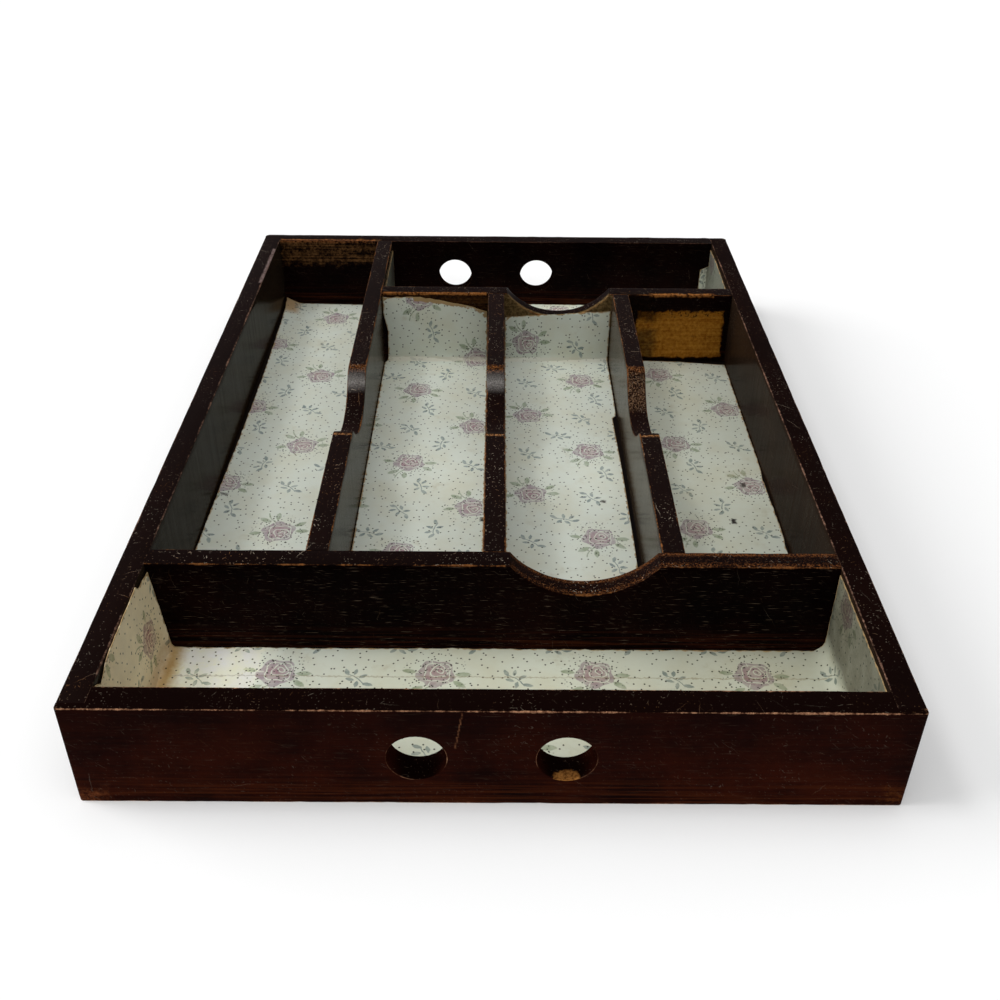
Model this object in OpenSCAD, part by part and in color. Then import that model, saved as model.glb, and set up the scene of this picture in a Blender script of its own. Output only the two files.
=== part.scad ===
// Knife tray: a shallow open box of dark boards, parted into six paper-lined bays.
// Frame: X to the right, Y to the back, Z up; origin in the middle of the footprint, on the table.
// Every size is in millimetres.

/* [Tray] */
// Width over the two side boards
tray_w = 322; // [300:1:360]
// Length over the two end boards
tray_l = 463; // [430:1:520]
// Height of every board
tray_h = 50; // [44:0.5:64]

/* [Boards] */
// Thickness of the two side boards
wall_t = 11; // [9:0.5:13]
// Thickness of the front board
front_t = 12; // [9:0.5:14]
// Thickness of the back board
back_t = 10; // [9:0.5:14]
// Thickness of the two cross partitions
partition_t = 10.5; // [8:0.5:13]
// Thickness of the three long dividers
divider_t = 10.2; // [8:0.2:12]
// Thickness of the base panel
base_t = 3; // [2:0.5:5]

/* [Bays] */
// Clear depth of the front cross bay
front_bay = 75; // [60:0.5:90]
// Clear depth of the rear cross bay
rear_bay = 75.5; // [60:0.5:90]
// Clear width of the left bay
left_bay = 67.8; // [58:0.2:75]
// Clear width of the second bay
second_bay = 67.4; // [58:0.2:75]
// Clear width of the third bay
third_bay = 68.4; // [60:0.2:75]

/* [Finger holes] */
// Diameter of the finger holes in both end boards
hole_d = 23; // [20:0.5:28]
// Distance between the two finger holes of one board
hole_pitch = 57.2; // [45:0.2:90]

/* [Hand dips] */
// Length of the dip in each long divider, from shoulder to shoulder
dip_l = 74; // [60:1:90]
// Depth of the dip below the rim
dip_depth = 15.2; // [10:0.2:18]
// Radius of the rounded shoulders of the dip
dip_shoulder_r = 9; // [5:0.5:12]
// Height that the shoulders' round would reach above the rim, so that a faint edge is left there
dip_edge = 0.1; // [0.05:0.05:0.5]
// How far the hollow of the dip is cut into the shoulders' round, so that the two arcs cross cleanly
dip_bite = 0.02; // [0.01:0.01:0.05]

/* [Scoops] */
// Flat left on each side of the scoop that opens the third bay
scoop_land = 1.7; // [1:0.1:6]
// Depth of the scoop below the rim
scoop_depth = 16; // [10:0.5:18]

/* [Joints] */
// Thickness of the lap that covers the ends of the side boards
corner_lap = 3.2; // [2.6:0.2:5]
// Depth of the housings that hold partitions and dividers
housing_depth = 3; // [2:0.5:4]
// Distance of the closed upper end of each housing below the rim
housing_stop = 7; // [5:0.5:10]
// How far the base panel is let into the boards
ledge_w = 5; // [4:0.5:6]
// Clearance in the housings and around the base panel
fit_gap = 0.1; // [0.05:0.05:0.3]

/* [Pins] */
// Diameter of the pin shanks
pin_d = 1.4; // [1.2:0.1:2]
// Diameter of the pin heads
pin_head_d = 2.8; // [2.4:0.1:3.4]
// Thickness of the pin heads
pin_head_h = 0.8; // [0.6:0.1:1]
// Length of the pins that hold the base panel
base_pin_l = 12; // [9:0.5:13]
// Length of the pins through the corners
corner_pin_l = 22; // [18:0.5:28]
// Base pins along each side board between the partitions
side_pin_n = 4; // [3:1:6]
// Base pins along the front board
front_pin_n = 3; // [2:1:5]
// Base pins along the back board, right of the left divider
back_pin_n = 2; // [1:1:3]
// Pins in the height of each corner
corner_pin_n = 2; // [2:1:3]
// Clearance of a pin in its hole
pin_gap = 0.05; // [0.02:0.01:0.1]

/* [Paper liner] */
// Thickness of the paper
liner_t = 0.3; // [0.2:0.05:0.5]
// Gap between the paper and the boards along a plain edge
liner_gap = 1; // [0.5:0.1:2]
// Gap along the left side board, where the paper was cut short
left_short = 3; // [1:0.1:5]
// Gap in front of the back board, at the right end of the left bay
left_rear_short = 4.5; // [1:0.1:6]
// Gap along the right divider in the third bay
third_short = 3.2; // [1:0.1:5]
// Wider gap of the third bay, in front of its step
third_step = 7; // [5.5:0.1:9]
// Distance of that step in front of the rear partition
third_step_back = 72; // [50:1:90]
// Gap in front of the rear partition, at the right end of the fourth bay
fourth_short = 5; // [1:0.1:7]
// Height of the paper on both side boards in the front bay
front_rise = 47; // [38:0.5:48]
// Depth of the notch torn in the left end of that paper
front_notch = 6; // [3:0.5:10]
// Height of the paper on the rear partition, left end of the second bay
second_rise_left = 47.5; // [40:0.5:48]
// Distance of the tear's start from the left end of that paper
second_tear = 36; // [20:1:45]
// Height of the torn right end of that paper
second_rise_right = 40.5; // [34:0.5:44]
// Height of the paper on the rear partition, left end of the third bay
third_rise_left = 32; // [25:0.5:33.5]
// Height of the right end of that paper
third_rise_right = 36.5; // [30:0.5:40]
// Height of the paper on the left divider and right side board in the rear bay
rear_rise = 43; // [36:0.5:48]
// Width of the corner flap folded on to the back board
rear_flap_w = 6; // [4:0.5:10]
// Height of that corner flap
rear_flap_h = 28; // [20:0.5:34]

/* [Hidden] */
$fn = 96;
eps = 1;
in_x = tray_w / 2 - wall_t;
front_y = front_t - tray_l / 2;
back_y = tray_l / 2 - back_t;
side_y = tray_l / 2 - corner_lap;
housing_z = tray_h - housing_stop;
hole_z = tray_h / 2;
floor_z = base_t + liner_t;

// Faces of the partitions, front to back
fp_y0 = front_y + front_bay;
fp_y1 = fp_y0 + partition_t;
rp_y1 = back_y - rear_bay;
rp_y0 = rp_y1 - partition_t;

// Faces of the dividers, left to right
ld_x0 = left_bay - in_x;
ld_x1 = ld_x0 + divider_t;
md_x0 = ld_x1 + second_bay;
md_x1 = md_x0 + divider_t;
rd_x0 = md_x1 + third_bay;
rd_x1 = rd_x0 + divider_t;

// Dip: a hollow arc that runs smoothly into two rounded shoulders, which meet the rim at a faint edge
dip_drop = dip_depth + dip_edge;
dip_r = (pow(dip_l / 2, 2) + pow(dip_drop, 2)) / (2 * dip_drop) - dip_shoulder_r;
dip_y = (fp_y1 + rp_y0) / 2;
dip_z = tray_h - dip_depth + dip_r;
shoulder_z = tray_h + dip_edge - dip_shoulder_r;
turn_y = dip_l / 2 * dip_r / (dip_r + dip_shoulder_r);
turn_z = dip_z - sqrt(pow(dip_r, 2) - pow(turn_y, 2));

// Scoop: one plain arc
scoop_w = third_bay - 2 * scoop_land;
scoop_r = (pow(scoop_w / 2, 2) + pow(scoop_depth, 2)) / (2 * scoop_depth);
scoop_x = (md_x1 + rd_x0) / 2;
scoop_z = tray_h - scoop_depth + scoop_r;

// Places of the base pins along the boards, clear of every housing
pin_x = in_x + ledge_w / 2;
front_pin_y = front_y - ledge_w / 2;
back_pin_y = back_y + ledge_w / 2;
side_pin_y = concat([front_y + front_bay / 2], spread(fp_y1, rp_y0, side_pin_n), [back_y - rear_bay / 2]);
front_pin_x = spread(-in_x, in_x, front_pin_n);
back_pin_x = concat([-in_x + left_bay / 2], spread(ld_x1, in_x, back_pin_n));
corner_pin_y = [front_y - (front_t - corner_lap) / 2, back_y + (back_t - corner_lap) / 2];
corner_pin_z = spread(base_t, tray_h, corner_pin_n);

// n places spread evenly between two ends
function spread(a, b, n) = [for (i = [0 : n - 1]) a + (b - a) * (i + 0.5) / n];

// A block between two corners, grown by g on every side
module block(lo, hi, g = 0) {
    translate(lo - [g, g, g]) cube(hi - lo + 2 * [g, g, g]);
}

// An upright plate whose outline is drawn in Y and Z, standing on x and x + t
module plate_yz(x, t) {
    translate([x, 0, 0]) rotate([90, 0, 90]) linear_extrude(t) children();
}

// An upright plate whose outline is drawn in X and Z, with its back face on y
module plate_xz(y, t) {
    translate([0, y, 0]) rotate([90, 0, 0]) linear_extrude(t) children();
}

module base_space() {
    block([-in_x - ledge_w, front_y - ledge_w, -eps], [in_x + ledge_w, back_y + ledge_w, base_t]);
}

module finger_holes(y, t) {
    for (s = [-1, 1])
        translate([s * hole_pitch / 2, y - eps, hole_z])
            rotate([-90, 0, 0]) cylinder(d = hole_d, h = t + 2 * eps);
}

// The tongues at the ends of each partition and divider, rooted in the board; g makes the housing
// around them
module cross_tongue(x, y, g) {
    block([x - housing_depth, y, base_t], [x + housing_depth, y + partition_t, housing_z], g);
}

module front_partition_tongues(g = 0) {
    cross_tongue(-in_x, fp_y0, g);
    cross_tongue(in_x, fp_y0, g);
}

module rear_partition_tongues(g = 0) {
    cross_tongue(ld_x1, rp_y0, g);
    cross_tongue(in_x, rp_y0, g);
}

module divider_tongues(x, end_y, g = 0) {
    for (y = [fp_y1, end_y])
        block([x, y - housing_depth, base_t], [x + divider_t, y + housing_depth, housing_z], g);
}

// One pin with its head on the origin, pointing along +Z; g makes the hole around it
module pin(l, g = 0) {
    cylinder(d = pin_head_d + 2 * g, h = pin_head_h + g);
    cylinder(d = pin_d + 2 * g, h = l + g);
}

module base_pin_set(g = 0) {
    for (x = front_pin_x) translate([x, front_pin_y, 0]) pin(base_pin_l, g);
    for (x = back_pin_x) translate([x, back_pin_y, 0]) pin(base_pin_l, g);
    for (s = [-1, 1], y = side_pin_y) translate([s * pin_x, y, 0]) pin(base_pin_l, g);
}

module corner_pin_set(g = 0) {
    for (s = [-1, 1], y = corner_pin_y, z = corner_pin_z)
        translate([s * tray_w / 2, y, z])
            rotate([0, -s * 90, 0]) pin(corner_pin_l, g);
}

// Full-width end board between two places in Y, with a rebate at each end for the side boards
module end_board(y0, y1) {
    difference() {
        block([-tray_w / 2, y0, 0], [tray_w / 2, y1, tray_h]);
        for (s = [-1, 1])
            translate([s * (tray_w / 2 - wall_t / 2 + eps / 2), 0, tray_h / 2])
                cube([wall_t + eps, 2 * side_y, tray_h + 2 * eps], center = true);
        base_space();
        finger_holes(y0, y1 - y0);
        base_pin_set(pin_gap);
        corner_pin_set(pin_gap);
    }
}

module front_board() {
    color("#3a1a10") end_board(-tray_l / 2, front_y);
}

module back_board() {
    color("#3a1a10") difference() {
        end_board(back_y, tray_l / 2);
        divider_tongues(ld_x0, back_y, fit_gap);
    }
}

module side_board(s) {
    difference() {
        translate([s * (in_x + wall_t / 2), 0, tray_h / 2])
            cube([wall_t, 2 * side_y, tray_h], center = true);
        base_space();
        base_pin_set(pin_gap);
        corner_pin_set(pin_gap);
        front_partition_tongues(fit_gap);
        rear_partition_tongues(fit_gap);
    }
}

module left_side() {
    color("#351810") side_board(-1);
}

module right_side() {
    color("#351810") side_board(1);
}

module base_panel() {
    w = 2 * (in_x + ledge_w - fit_gap);
    y0 = front_y - ledge_w + fit_gap;
    y1 = back_y + ledge_w - fit_gap;
    color("#8a6038") difference() {
        block([-w / 2, y0, 0], [w / 2, y1, base_t]);
        translate([0, 0, -eps]) base_pin_bores();
    }
}

// Through holes of the base panel, with a recess for each head
module base_pin_bores() {
    for (p = concat([for (x = front_pin_x) [x, front_pin_y]], [for (x = back_pin_x) [x, back_pin_y]],
                    [for (s = [-1, 1], y = side_pin_y) [s * pin_x, y]]))
        translate([p[0], p[1], 0]) {
            cylinder(d = pin_head_d + 2 * pin_gap, h = pin_head_h + pin_gap + eps);
            cylinder(d = pin_d + 2 * pin_gap, h = base_t + 2 * eps);
        }
}

// Scoop cut through a partition whose front face is on y
module scoop(y) {
    translate([scoop_x, y - eps, scoop_z])
        rotate([-90, 0, 0]) cylinder(r = scoop_r, h = partition_t + 2 * eps, $fn = 180);
}

module front_partition() {
    color("#3a1a10") difference() {
        union() {
            block([-in_x, fp_y0, base_t], [in_x, fp_y1, tray_h]);
            front_partition_tongues();
        }
        scoop(fp_y0);
        divider_tongues(ld_x0, back_y, fit_gap);
        divider_tongues(md_x0, rp_y0, fit_gap);
        divider_tongues(rd_x0, rp_y0, fit_gap);
    }
}

module rear_partition() {
    color("#3a1a10") difference() {
        union() {
            block([ld_x1, rp_y0, base_t], [in_x, rp_y1, tray_h]);
            rear_partition_tongues();
        }
        scoop(rp_y0);
        divider_tongues(md_x0, rp_y0, fit_gap);
        divider_tongues(rd_x0, rp_y0, fit_gap);
    }
}

// Outline of the hand dip, drawn in Y and Z: the hollow, then the space above each rounded shoulder
module dip() {
    translate([dip_y, 0]) {
        translate([0, dip_z]) circle(dip_r + dip_bite, $fn = 180);
        for (s = [-1, 1]) difference() {
            translate([s > 0 ? 0 : -dip_l / 2, turn_z]) square([dip_l / 2, tray_h + eps - turn_z]);
            translate([s * dip_l / 2, shoulder_z]) circle(dip_shoulder_r);
        }
    }
}

// Long divider with a hand dip, between the front partition and end_y
module divider(x, end_y) {
    plate_yz(x, divider_t) difference() {
        translate([fp_y1, base_t]) square([end_y - fp_y1, tray_h - base_t]);
        dip();
    }
    divider_tongues(x, end_y);
}

module left_divider() {
    color("#42200f") difference() {
        divider(ld_x0, back_y);
        rear_partition_tongues(fit_gap);
    }
}

module middle_divider() {
    color("#42200f") divider(md_x0, rp_y0);
}

module right_divider() {
    color("#42200f") divider(rd_x0, rp_y0);
}

// Paper on the floor of a bay, drawn in X and Y
module floor_paper() {
    translate([0, 0, base_t]) linear_extrude(liner_t) children();
}

module front_bay_liner() {
    y0 = front_y + liner_gap;
    y1 = fp_y0 - liner_gap;
    color("#dcdcc8") {
        floor_paper() translate([-in_x, y0]) square([2 * in_x, y1 - y0]);
        plate_yz(-in_x, liner_t)
            polygon([[y0, base_t], [y1, base_t], [y1, front_rise - front_notch / 2],
                     [y1 - front_notch, front_rise - front_notch], [y1 - 2 * front_notch, front_rise],
                     [y0, front_rise]]);
        plate_yz(in_x - liner_t, liner_t)
            polygon([[y0, base_t], [y1, base_t], [y1, front_rise], [y0, front_rise]]);
    }
}

module rear_bay_liner() {
    y0 = rp_y1 + liner_gap;
    color("#dcdcc8") {
        floor_paper() translate([ld_x1, y0]) square([in_x - ld_x1, back_y - y0]);
        plate_yz(ld_x1, liner_t) translate([y0, base_t]) square([back_y - y0, rear_rise - base_t]);
        plate_yz(in_x - liner_t, liner_t) translate([y0, base_t]) square([back_y - y0, rear_rise - base_t]);
        plate_xz(back_y, liner_t)
            polygon([[in_x - rear_flap_w, base_t], [in_x, base_t], [in_x, rear_flap_h],
                     [in_x - rear_flap_w, rear_flap_h]]);
    }
}

module left_bay_liner() {
    color("#dcdcc8") floor_paper()
        polygon([[-in_x + left_short, fp_y1 + liner_gap], [ld_x0 - liner_gap, fp_y1 + liner_gap],
                 [ld_x0 - liner_gap, back_y - left_rear_short], [-in_x + liner_gap, back_y - liner_gap]]);
}

module second_bay_liner() {
    x0 = ld_x1 + liner_gap;
    x1 = md_x0 - liner_gap;
    y0 = fp_y1 + liner_gap;
    color("#dcdcc8") {
        floor_paper() translate([x0, y0]) square([x1 - x0, rp_y0 - y0]);
        plate_xz(rp_y0, liner_t)
            polygon([[x0, base_t], [x1, base_t], [x1, second_rise_right], [x0 + second_tear, second_rise_left],
                     [x0, second_rise_left]]);
    }
}

module third_bay_liner() {
    x0 = md_x1 + liner_gap;
    x1 = rd_x0 - third_short;
    x2 = rd_x0 - third_step;
    y0 = fp_y1 + liner_gap;
    y_step = rp_y0 - third_step_back;
    color("#dcdcc8") {
        floor_paper()
            polygon([[x0, y0], [x1, y0], [x2, y_step], [x1, y_step], [x1, rp_y0], [x0, rp_y0]]);
        plate_xz(rp_y0, liner_t)
            polygon([[x0, base_t], [x1, base_t], [x1, third_rise_right], [x0, third_rise_left]]);
    }
}

module fourth_bay_liner() {
    color("#dcdcc8") floor_paper()
        polygon([[rd_x1 + liner_gap, fp_y1 + liner_gap], [in_x - liner_gap, fp_y1 + liner_gap],
                 [in_x - liner_gap, rp_y0 - fourth_short], [rd_x1 + liner_gap, rp_y0 - liner_gap]]);
}

module base_pins() {
    color("#9a9a96") base_pin_set();
}

module corner_pins() {
    color("#9a9a96") corner_pin_set();
}

front_board();
back_board();
left_side();
right_side();
base_panel();
front_partition();
rear_partition();
left_divider();
middle_divider();
right_divider();
front_bay_liner();
rear_bay_liner();
left_bay_liner();
second_bay_liner();
third_bay_liner();
fourth_bay_liner();
base_pins();
corner_pins();
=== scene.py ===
# %% [markdown]
# # A worn knife tray with paper-lined bays
# The real object is a shallow open box of thin dark boards. Two cross partitions and three long
# dividers part it into six bays, and each bay has its own sheet of printed shelf paper. The solids
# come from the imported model. This lesson dresses them: boards with eased and knocked edges, sheets
# that fold and curl, and finishes made of nodes alone.

from math import atan2, cos, pi, radians, sin, sqrt
from types import SimpleNamespace

import bmesh
import bpy
from mathutils import Matrix, Vector, kdtree, noise


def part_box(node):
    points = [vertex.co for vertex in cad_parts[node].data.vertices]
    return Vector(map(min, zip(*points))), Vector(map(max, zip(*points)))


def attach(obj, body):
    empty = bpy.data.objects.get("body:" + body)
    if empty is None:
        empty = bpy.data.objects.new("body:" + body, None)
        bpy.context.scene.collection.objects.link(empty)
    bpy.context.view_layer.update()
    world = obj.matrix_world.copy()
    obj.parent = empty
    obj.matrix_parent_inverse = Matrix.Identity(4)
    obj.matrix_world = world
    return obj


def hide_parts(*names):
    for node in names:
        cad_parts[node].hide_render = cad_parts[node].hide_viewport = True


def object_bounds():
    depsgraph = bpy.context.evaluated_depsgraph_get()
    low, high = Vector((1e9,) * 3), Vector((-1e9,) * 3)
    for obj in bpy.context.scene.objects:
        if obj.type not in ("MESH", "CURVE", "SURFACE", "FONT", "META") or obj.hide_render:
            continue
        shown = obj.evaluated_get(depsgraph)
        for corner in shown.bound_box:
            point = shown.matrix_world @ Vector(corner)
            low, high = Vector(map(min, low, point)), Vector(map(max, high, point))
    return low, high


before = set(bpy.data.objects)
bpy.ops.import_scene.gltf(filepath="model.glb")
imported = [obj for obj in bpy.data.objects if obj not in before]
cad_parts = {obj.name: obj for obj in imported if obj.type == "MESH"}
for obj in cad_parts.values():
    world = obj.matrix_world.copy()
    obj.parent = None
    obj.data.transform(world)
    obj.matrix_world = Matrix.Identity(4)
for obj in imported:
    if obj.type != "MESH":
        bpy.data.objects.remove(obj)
cad_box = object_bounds()
MM = 0.001
print("CAD box in mm:", [[round(v / MM, 1) for v in corner] for corner in cad_box])

# %% [markdown]
# The sizes that the boards share are read from the solids, so that every dressed piece lands where
# its node is: the inner faces of the walls, the top of the base panel and the ledge that it rests in.

# %% Read the shared sizes from the solids
side_low, side_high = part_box("left_side")
base_low, base_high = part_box("base_panel")
FIT_GAP = 0.1 * MM
RIM = side_high.z
FLOOR = base_high.z
IN_X = -side_high.x
WALL = side_high.x - side_low.x
LAP_Y = side_high.y
LEDGE_X = base_high.x + FIT_GAP
LEDGE_Y = (base_low.y - FIT_GAP, base_high.y + FIT_GAP)
FRONT_IN, BACK_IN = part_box("front_board")[1].y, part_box("back_board")[0].y
FRONT_PART = [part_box("front_partition")[i].y for i in (0, 1)]
REAR_PART = [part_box("rear_partition")[i].y for i in (0, 1)]
LEFT_DIV, MIDDLE_DIV, RIGHT_DIV = [
    [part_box(name + "_divider")[i].x for i in (0, 1)] for name in ("left", "middle", "right")]
print("inner faces in mm:", [round(v / MM, 2) for v in (-IN_X, IN_X, FRONT_IN, BACK_IN)])

# %% [markdown]
# ## The camera
# A photographer stood in front of the tray and looked down at it. The place, the tilt and the focal
# length were worked out from the tray's corners, for a square picture of 1000 pixels. The camera looks
# along its own -Z, so its axes are written straight into its matrix.

# %% Camera at the photograph's view
CAMERA_AT = Vector((0.635, -531.17, 350.61)) * MM
YAW, PITCH, ROLL = radians(0.301), radians(34.549), radians(0.561)
FOCAL_PX, FRAME_PX, SENSOR_MM = 1138.0, 1000, 36.0

look = Vector((sin(YAW) * cos(PITCH), cos(YAW) * cos(PITCH), -sin(PITCH)))
level = Vector((cos(YAW), -sin(YAW), 0))
above = level.cross(look)
across = cos(ROLL) * level + sin(ROLL) * above
upward = -sin(ROLL) * level + cos(ROLL) * above

lens = bpy.data.cameras.new("camera")
lens.sensor_width = SENSOR_MM
lens.lens = FOCAL_PX / FRAME_PX * SENSOR_MM
camera = bpy.data.objects.new("camera", lens)
camera.matrix_world = Matrix((across, upward, -look)).transposed().to_4x4()
camera.location = CAMERA_AT
bpy.context.collection.objects.link(camera)
bpy.context.scene.camera = camera
print("lens in mm:", round(lens.lens, 2))

# %% [markdown]
# ## Helpers for nodes
# Colours are written as sRGB hex values, as a paint program shows them, and one function turns them
# to the linear values that shaders use. A second small function adds any node: it sets the node's
# options, fills or links its inputs, and hands back one output socket, so that nodes chain easily.

# %% Colours and nodes
def srgb(hex_colour):
    """The linear RGBA of an sRGB hex colour."""
    channels = [int(hex_colour[i:i + 2], 16) / 255 for i in (1, 3, 5)]
    return [v / 12.92 if v <= 0.04045 else ((v + 0.055) / 1.055) ** 2.4 for v in channels] + [1.0]


def add_node(tree, kind, inputs=None, out=0, **settings):
    """Adds one node with its settings, fills or links its inputs, and returns one output socket."""
    made = tree.nodes.new(kind if "NodeGroup" in kind else "ShaderNode" + kind)
    for key, value in settings.items():
        setattr(made, key, value)
    for key, value in (inputs or {}).items():
        if isinstance(value, bpy.types.NodeSocket):
            tree.links.new(value, made.inputs[key])
        else:
            made.inputs[key].default_value = value
    return made.outputs[out] if made.outputs else made


def new_material(name):
    """An empty material and its node tree."""
    made = bpy.data.materials.new(name)
    made.use_nodes = True
    made.node_tree.nodes.clear()
    return made, made.node_tree


print("a mid grey in linear light:", round(srgb("#808080")[0], 3))

# %% [markdown]
# ## The stage
# The tray lies on plain white in soft light. The floor shows white to the camera but still takes the
# tray's shadow: it is part paint, which the lamps light, and part glow, which only the camera and the
# reflections see. The world does the same: it lights the tray weakly, and looks white.

# %% Floor and world
bpy.context.scene.view_settings.view_transform = "Standard"
FLOOR_SIZE = 30
FLOOR_GLOW = 0.08
ROOM_LIGHT = 0.28


def seen_mask(tree):
    """1 for rays that show the surroundings: from the camera, a reflection or through glass."""
    ray = add_node(tree, "LightPath").node.outputs
    seen = add_node(tree, "Math", {0: ray["Is Camera Ray"], 1: ray["Is Glossy Ray"]}, operation="MAXIMUM")
    return add_node(tree, "Math", {0: seen, 1: ray["Is Transmission Ray"]}, operation="MAXIMUM")


bpy.ops.object.select_all(action="DESELECT")
bpy.ops.mesh.primitive_plane_add(size=FLOOR_SIZE)
floor = bpy.context.object
floor.name = "floor"
floor_paint, tree = new_material("white_floor")
paint = add_node(tree, "BsdfDiffuse", {"Color": srgb("#fafafa")})
glow = add_node(tree, "Emission", {"Color": srgb("#ffffff"), "Strength": 1.0})
share = add_node(tree, "Math", {0: seen_mask(tree), 1: FLOOR_GLOW}, operation="MULTIPLY")
both = add_node(tree, "MixShader", {0: share, 1: paint, 2: glow})
add_node(tree, "OutputMaterial", {"Surface": both})
floor.data.materials.append(floor_paint)

world = bpy.data.worlds.new("white_room")
bpy.context.scene.world = world
world.use_nodes = True
tree = world.node_tree
tree.nodes.clear()
strength = add_node(tree, "MapRange", {"Value": seen_mask(tree), "To Min": ROOM_LIGHT, "To Max": 1.0})
sky = add_node(tree, "Background", {"Color": srgb("#ffffff"), "Strength": strength})
add_node(tree, "OutputWorld", {"Surface": sky})
print("room light:", ROOM_LIGHT)

# %% [markdown]
# Three far lamps light the tray evenly: a broad one overhead, a smaller key from the upper left that
# shades the left side of each bay, and a low one from the left that draws the wide pale shadow to the
# right. A sun lamp stands for each, because its strength is the same all over the floor, and its angle
# sets how soft the shadows are.

# %% Lamps
def far_lamp(name, source, strength, spread):
    """A lamp as far off as a large window, so that its light is even over the whole floor."""
    made = bpy.data.lights.new(name, "SUN")
    made.energy = strength
    made.angle = radians(spread)
    lamp = bpy.data.objects.new(name, made)
    lamp.rotation_euler = Vector(source).to_track_quat("Z", "Y").to_euler()
    bpy.context.collection.objects.link(lamp)
    return lamp


lamps = [far_lamp("ceiling_lamp", (0.0, -0.25, 1.0), 1.32, 80),
         far_lamp("key_lamp", (-0.58, 0.05, 1.0), 0.50, 12),
         far_lamp("low_lamp", (-0.9, 0.12, 0.42), 2.1, 45)]
print("lamps:", [lamp.name for lamp in lamps])

# %% [markdown]
# ## Cutting boards
# A board starts as a cube primitive stretched between two corners. It is sliced across at regular
# places, so that its faces are small: small faces can be bent, cut out and worn locally. Faces and
# edges are then picked by where they lie, and shaped by extrude and bevel, as a joiner saws a rebate
# and eases an arris.

# %% Helpers for boards
CELL = 4 * MM
FACING = 0.9


def new_block(name, low, high):
    """A cube between two corners, with its place in its mesh, left in edit mode."""
    bpy.ops.object.select_all(action="DESELECT")
    bpy.ops.mesh.primitive_cube_add(size=1, location=(Vector(low) + Vector(high)) / 2)
    block = bpy.context.object
    block.name = block.data.name = name
    block.scale = Vector(high) - Vector(low)
    bpy.ops.object.transform_apply(location=True, rotation=True, scale=True)
    bpy.ops.object.mode_set(mode="EDIT")
    return block


def cells(low, high, size=CELL):
    """Evenly spread places between two ends, about one cell apart, without the ends."""
    count = max(1, round((high - low) / size))
    return [low + (high - low) * i / count for i in range(1, count)]


def slice_across(axis, places):
    """Cuts the mesh in edit mode straight across one axis at each place."""
    normal = Vector([float(i == axis) for i in range(3)])
    for place in places:
        bpy.ops.mesh.select_all(action="SELECT")
        bpy.ops.mesh.bisect(plane_co=normal * place, plane_no=normal)


def pick(kind, test):
    """Selects the FACE or EDGE parts of the mesh in edit mode that pass a test."""
    bpy.ops.mesh.select_mode(type=kind)
    bpy.ops.mesh.select_all(action="DESELECT")
    mesh = bmesh.from_edit_mesh(bpy.context.object.data)
    for part in [p for p in (mesh.faces if kind == "FACE" else mesh.edges) if test(p)]:
        part.select_set(True)
    bmesh.update_edit_mesh(bpy.context.object.data)


def middle(edge):
    """The middle of an edge."""
    return (edge.verts[0].co + edge.verts[1].co) / 2


def is_sharp(edge, limit=radians(28)):
    """True where two faces meet at more than the limit."""
    return len(edge.link_faces) == 2 and edge.calc_face_angle() > limit


def push(offset):
    """Extrudes the picked faces by an offset."""
    bpy.ops.mesh.extrude_region_move(TRANSFORM_OT_translate={"value": offset})


print("cell in mm:", round(CELL / MM, 2))

# %% [markdown]
# Old boards have lost the crispness of their edges. After the exposed edges are rounded by a bevel,
# each point near them is pressed in a little by smooth noise, which gives the dents and the wavering
# line that the eye reads as age. The distance from the nearest eased edge is stored on every point,
# because the varnish finish needs to know where hands have rubbed it away.

# %% Ease, knock and record the edges of a board
ARRIS, EASE_STEPS = 0.6 * MM, 3
KNOCK_REACH, KNOCK_DEPTH = 1.6 * MM, 0.3 * MM
DENTS_PER_M, CHIPS_PER_M, CHIP_SHARE = 55, 190, 0.7
SMOOTH_BELOW = radians(35)


def ease_edges(block, exposed):
    """Bevels the exposed sharp edges, dents them, and stores each point's distance from them in mm."""
    pick("EDGE", lambda e: is_sharp(e) and exposed(middle(e)))
    drawn = bmesh.from_edit_mesh(block.data)
    marks = []
    for edge in [e for e in drawn.edges if e.select]:
        steps = max(2, int(edge.calc_length() / MM))
        marks += [edge.verts[0].co.lerp(edge.verts[1].co, i / steps) for i in range(steps + 1)]
    bpy.ops.mesh.bevel(offset=ARRIS, segments=EASE_STEPS, profile=0.5, affect="EDGES", clamp_overlap=True)
    bpy.ops.mesh.select_all(action="SELECT")
    bpy.ops.mesh.normals_make_consistent(inside=False)
    bpy.ops.object.mode_set(mode="OBJECT")

    nearest = kdtree.KDTree(len(marks))
    for i, mark in enumerate(marks):
        nearest.insert(mark, i)
    nearest.balance()
    distances = []
    for v in block.data.vertices:
        distance = nearest.find(v.co)[2]
        distances.append(distance / MM)
        if distance < KNOCK_REACH:
            rough = noise.noise(v.co * DENTS_PER_M) + CHIP_SHARE * noise.noise(v.co * CHIPS_PER_M)
            v.co -= v.normal * KNOCK_DEPTH * max(0.0, rough) * (1 - distance / KNOCK_REACH)
    stored = block.data.attributes.new("arris_mm", "FLOAT", "POINT")
    stored.data.foreach_set("value", distances)
    print(block.name, "points along its eased edges:", len(marks))


def dress(piece, node):
    """Lets a finished piece stand for its node and ride on the tray."""
    bpy.ops.object.select_all(action="DESELECT")
    piece.select_set(True)
    bpy.context.view_layer.objects.active = piece
    bpy.ops.object.shade_smooth_by_angle(angle=SMOOTH_BELOW)
    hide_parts(node)
    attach(piece, "root")
    print(piece.name, "faces:", len(piece.data.polygons))


print("eased edge in mm:", round(ARRIS / MM, 2))

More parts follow.
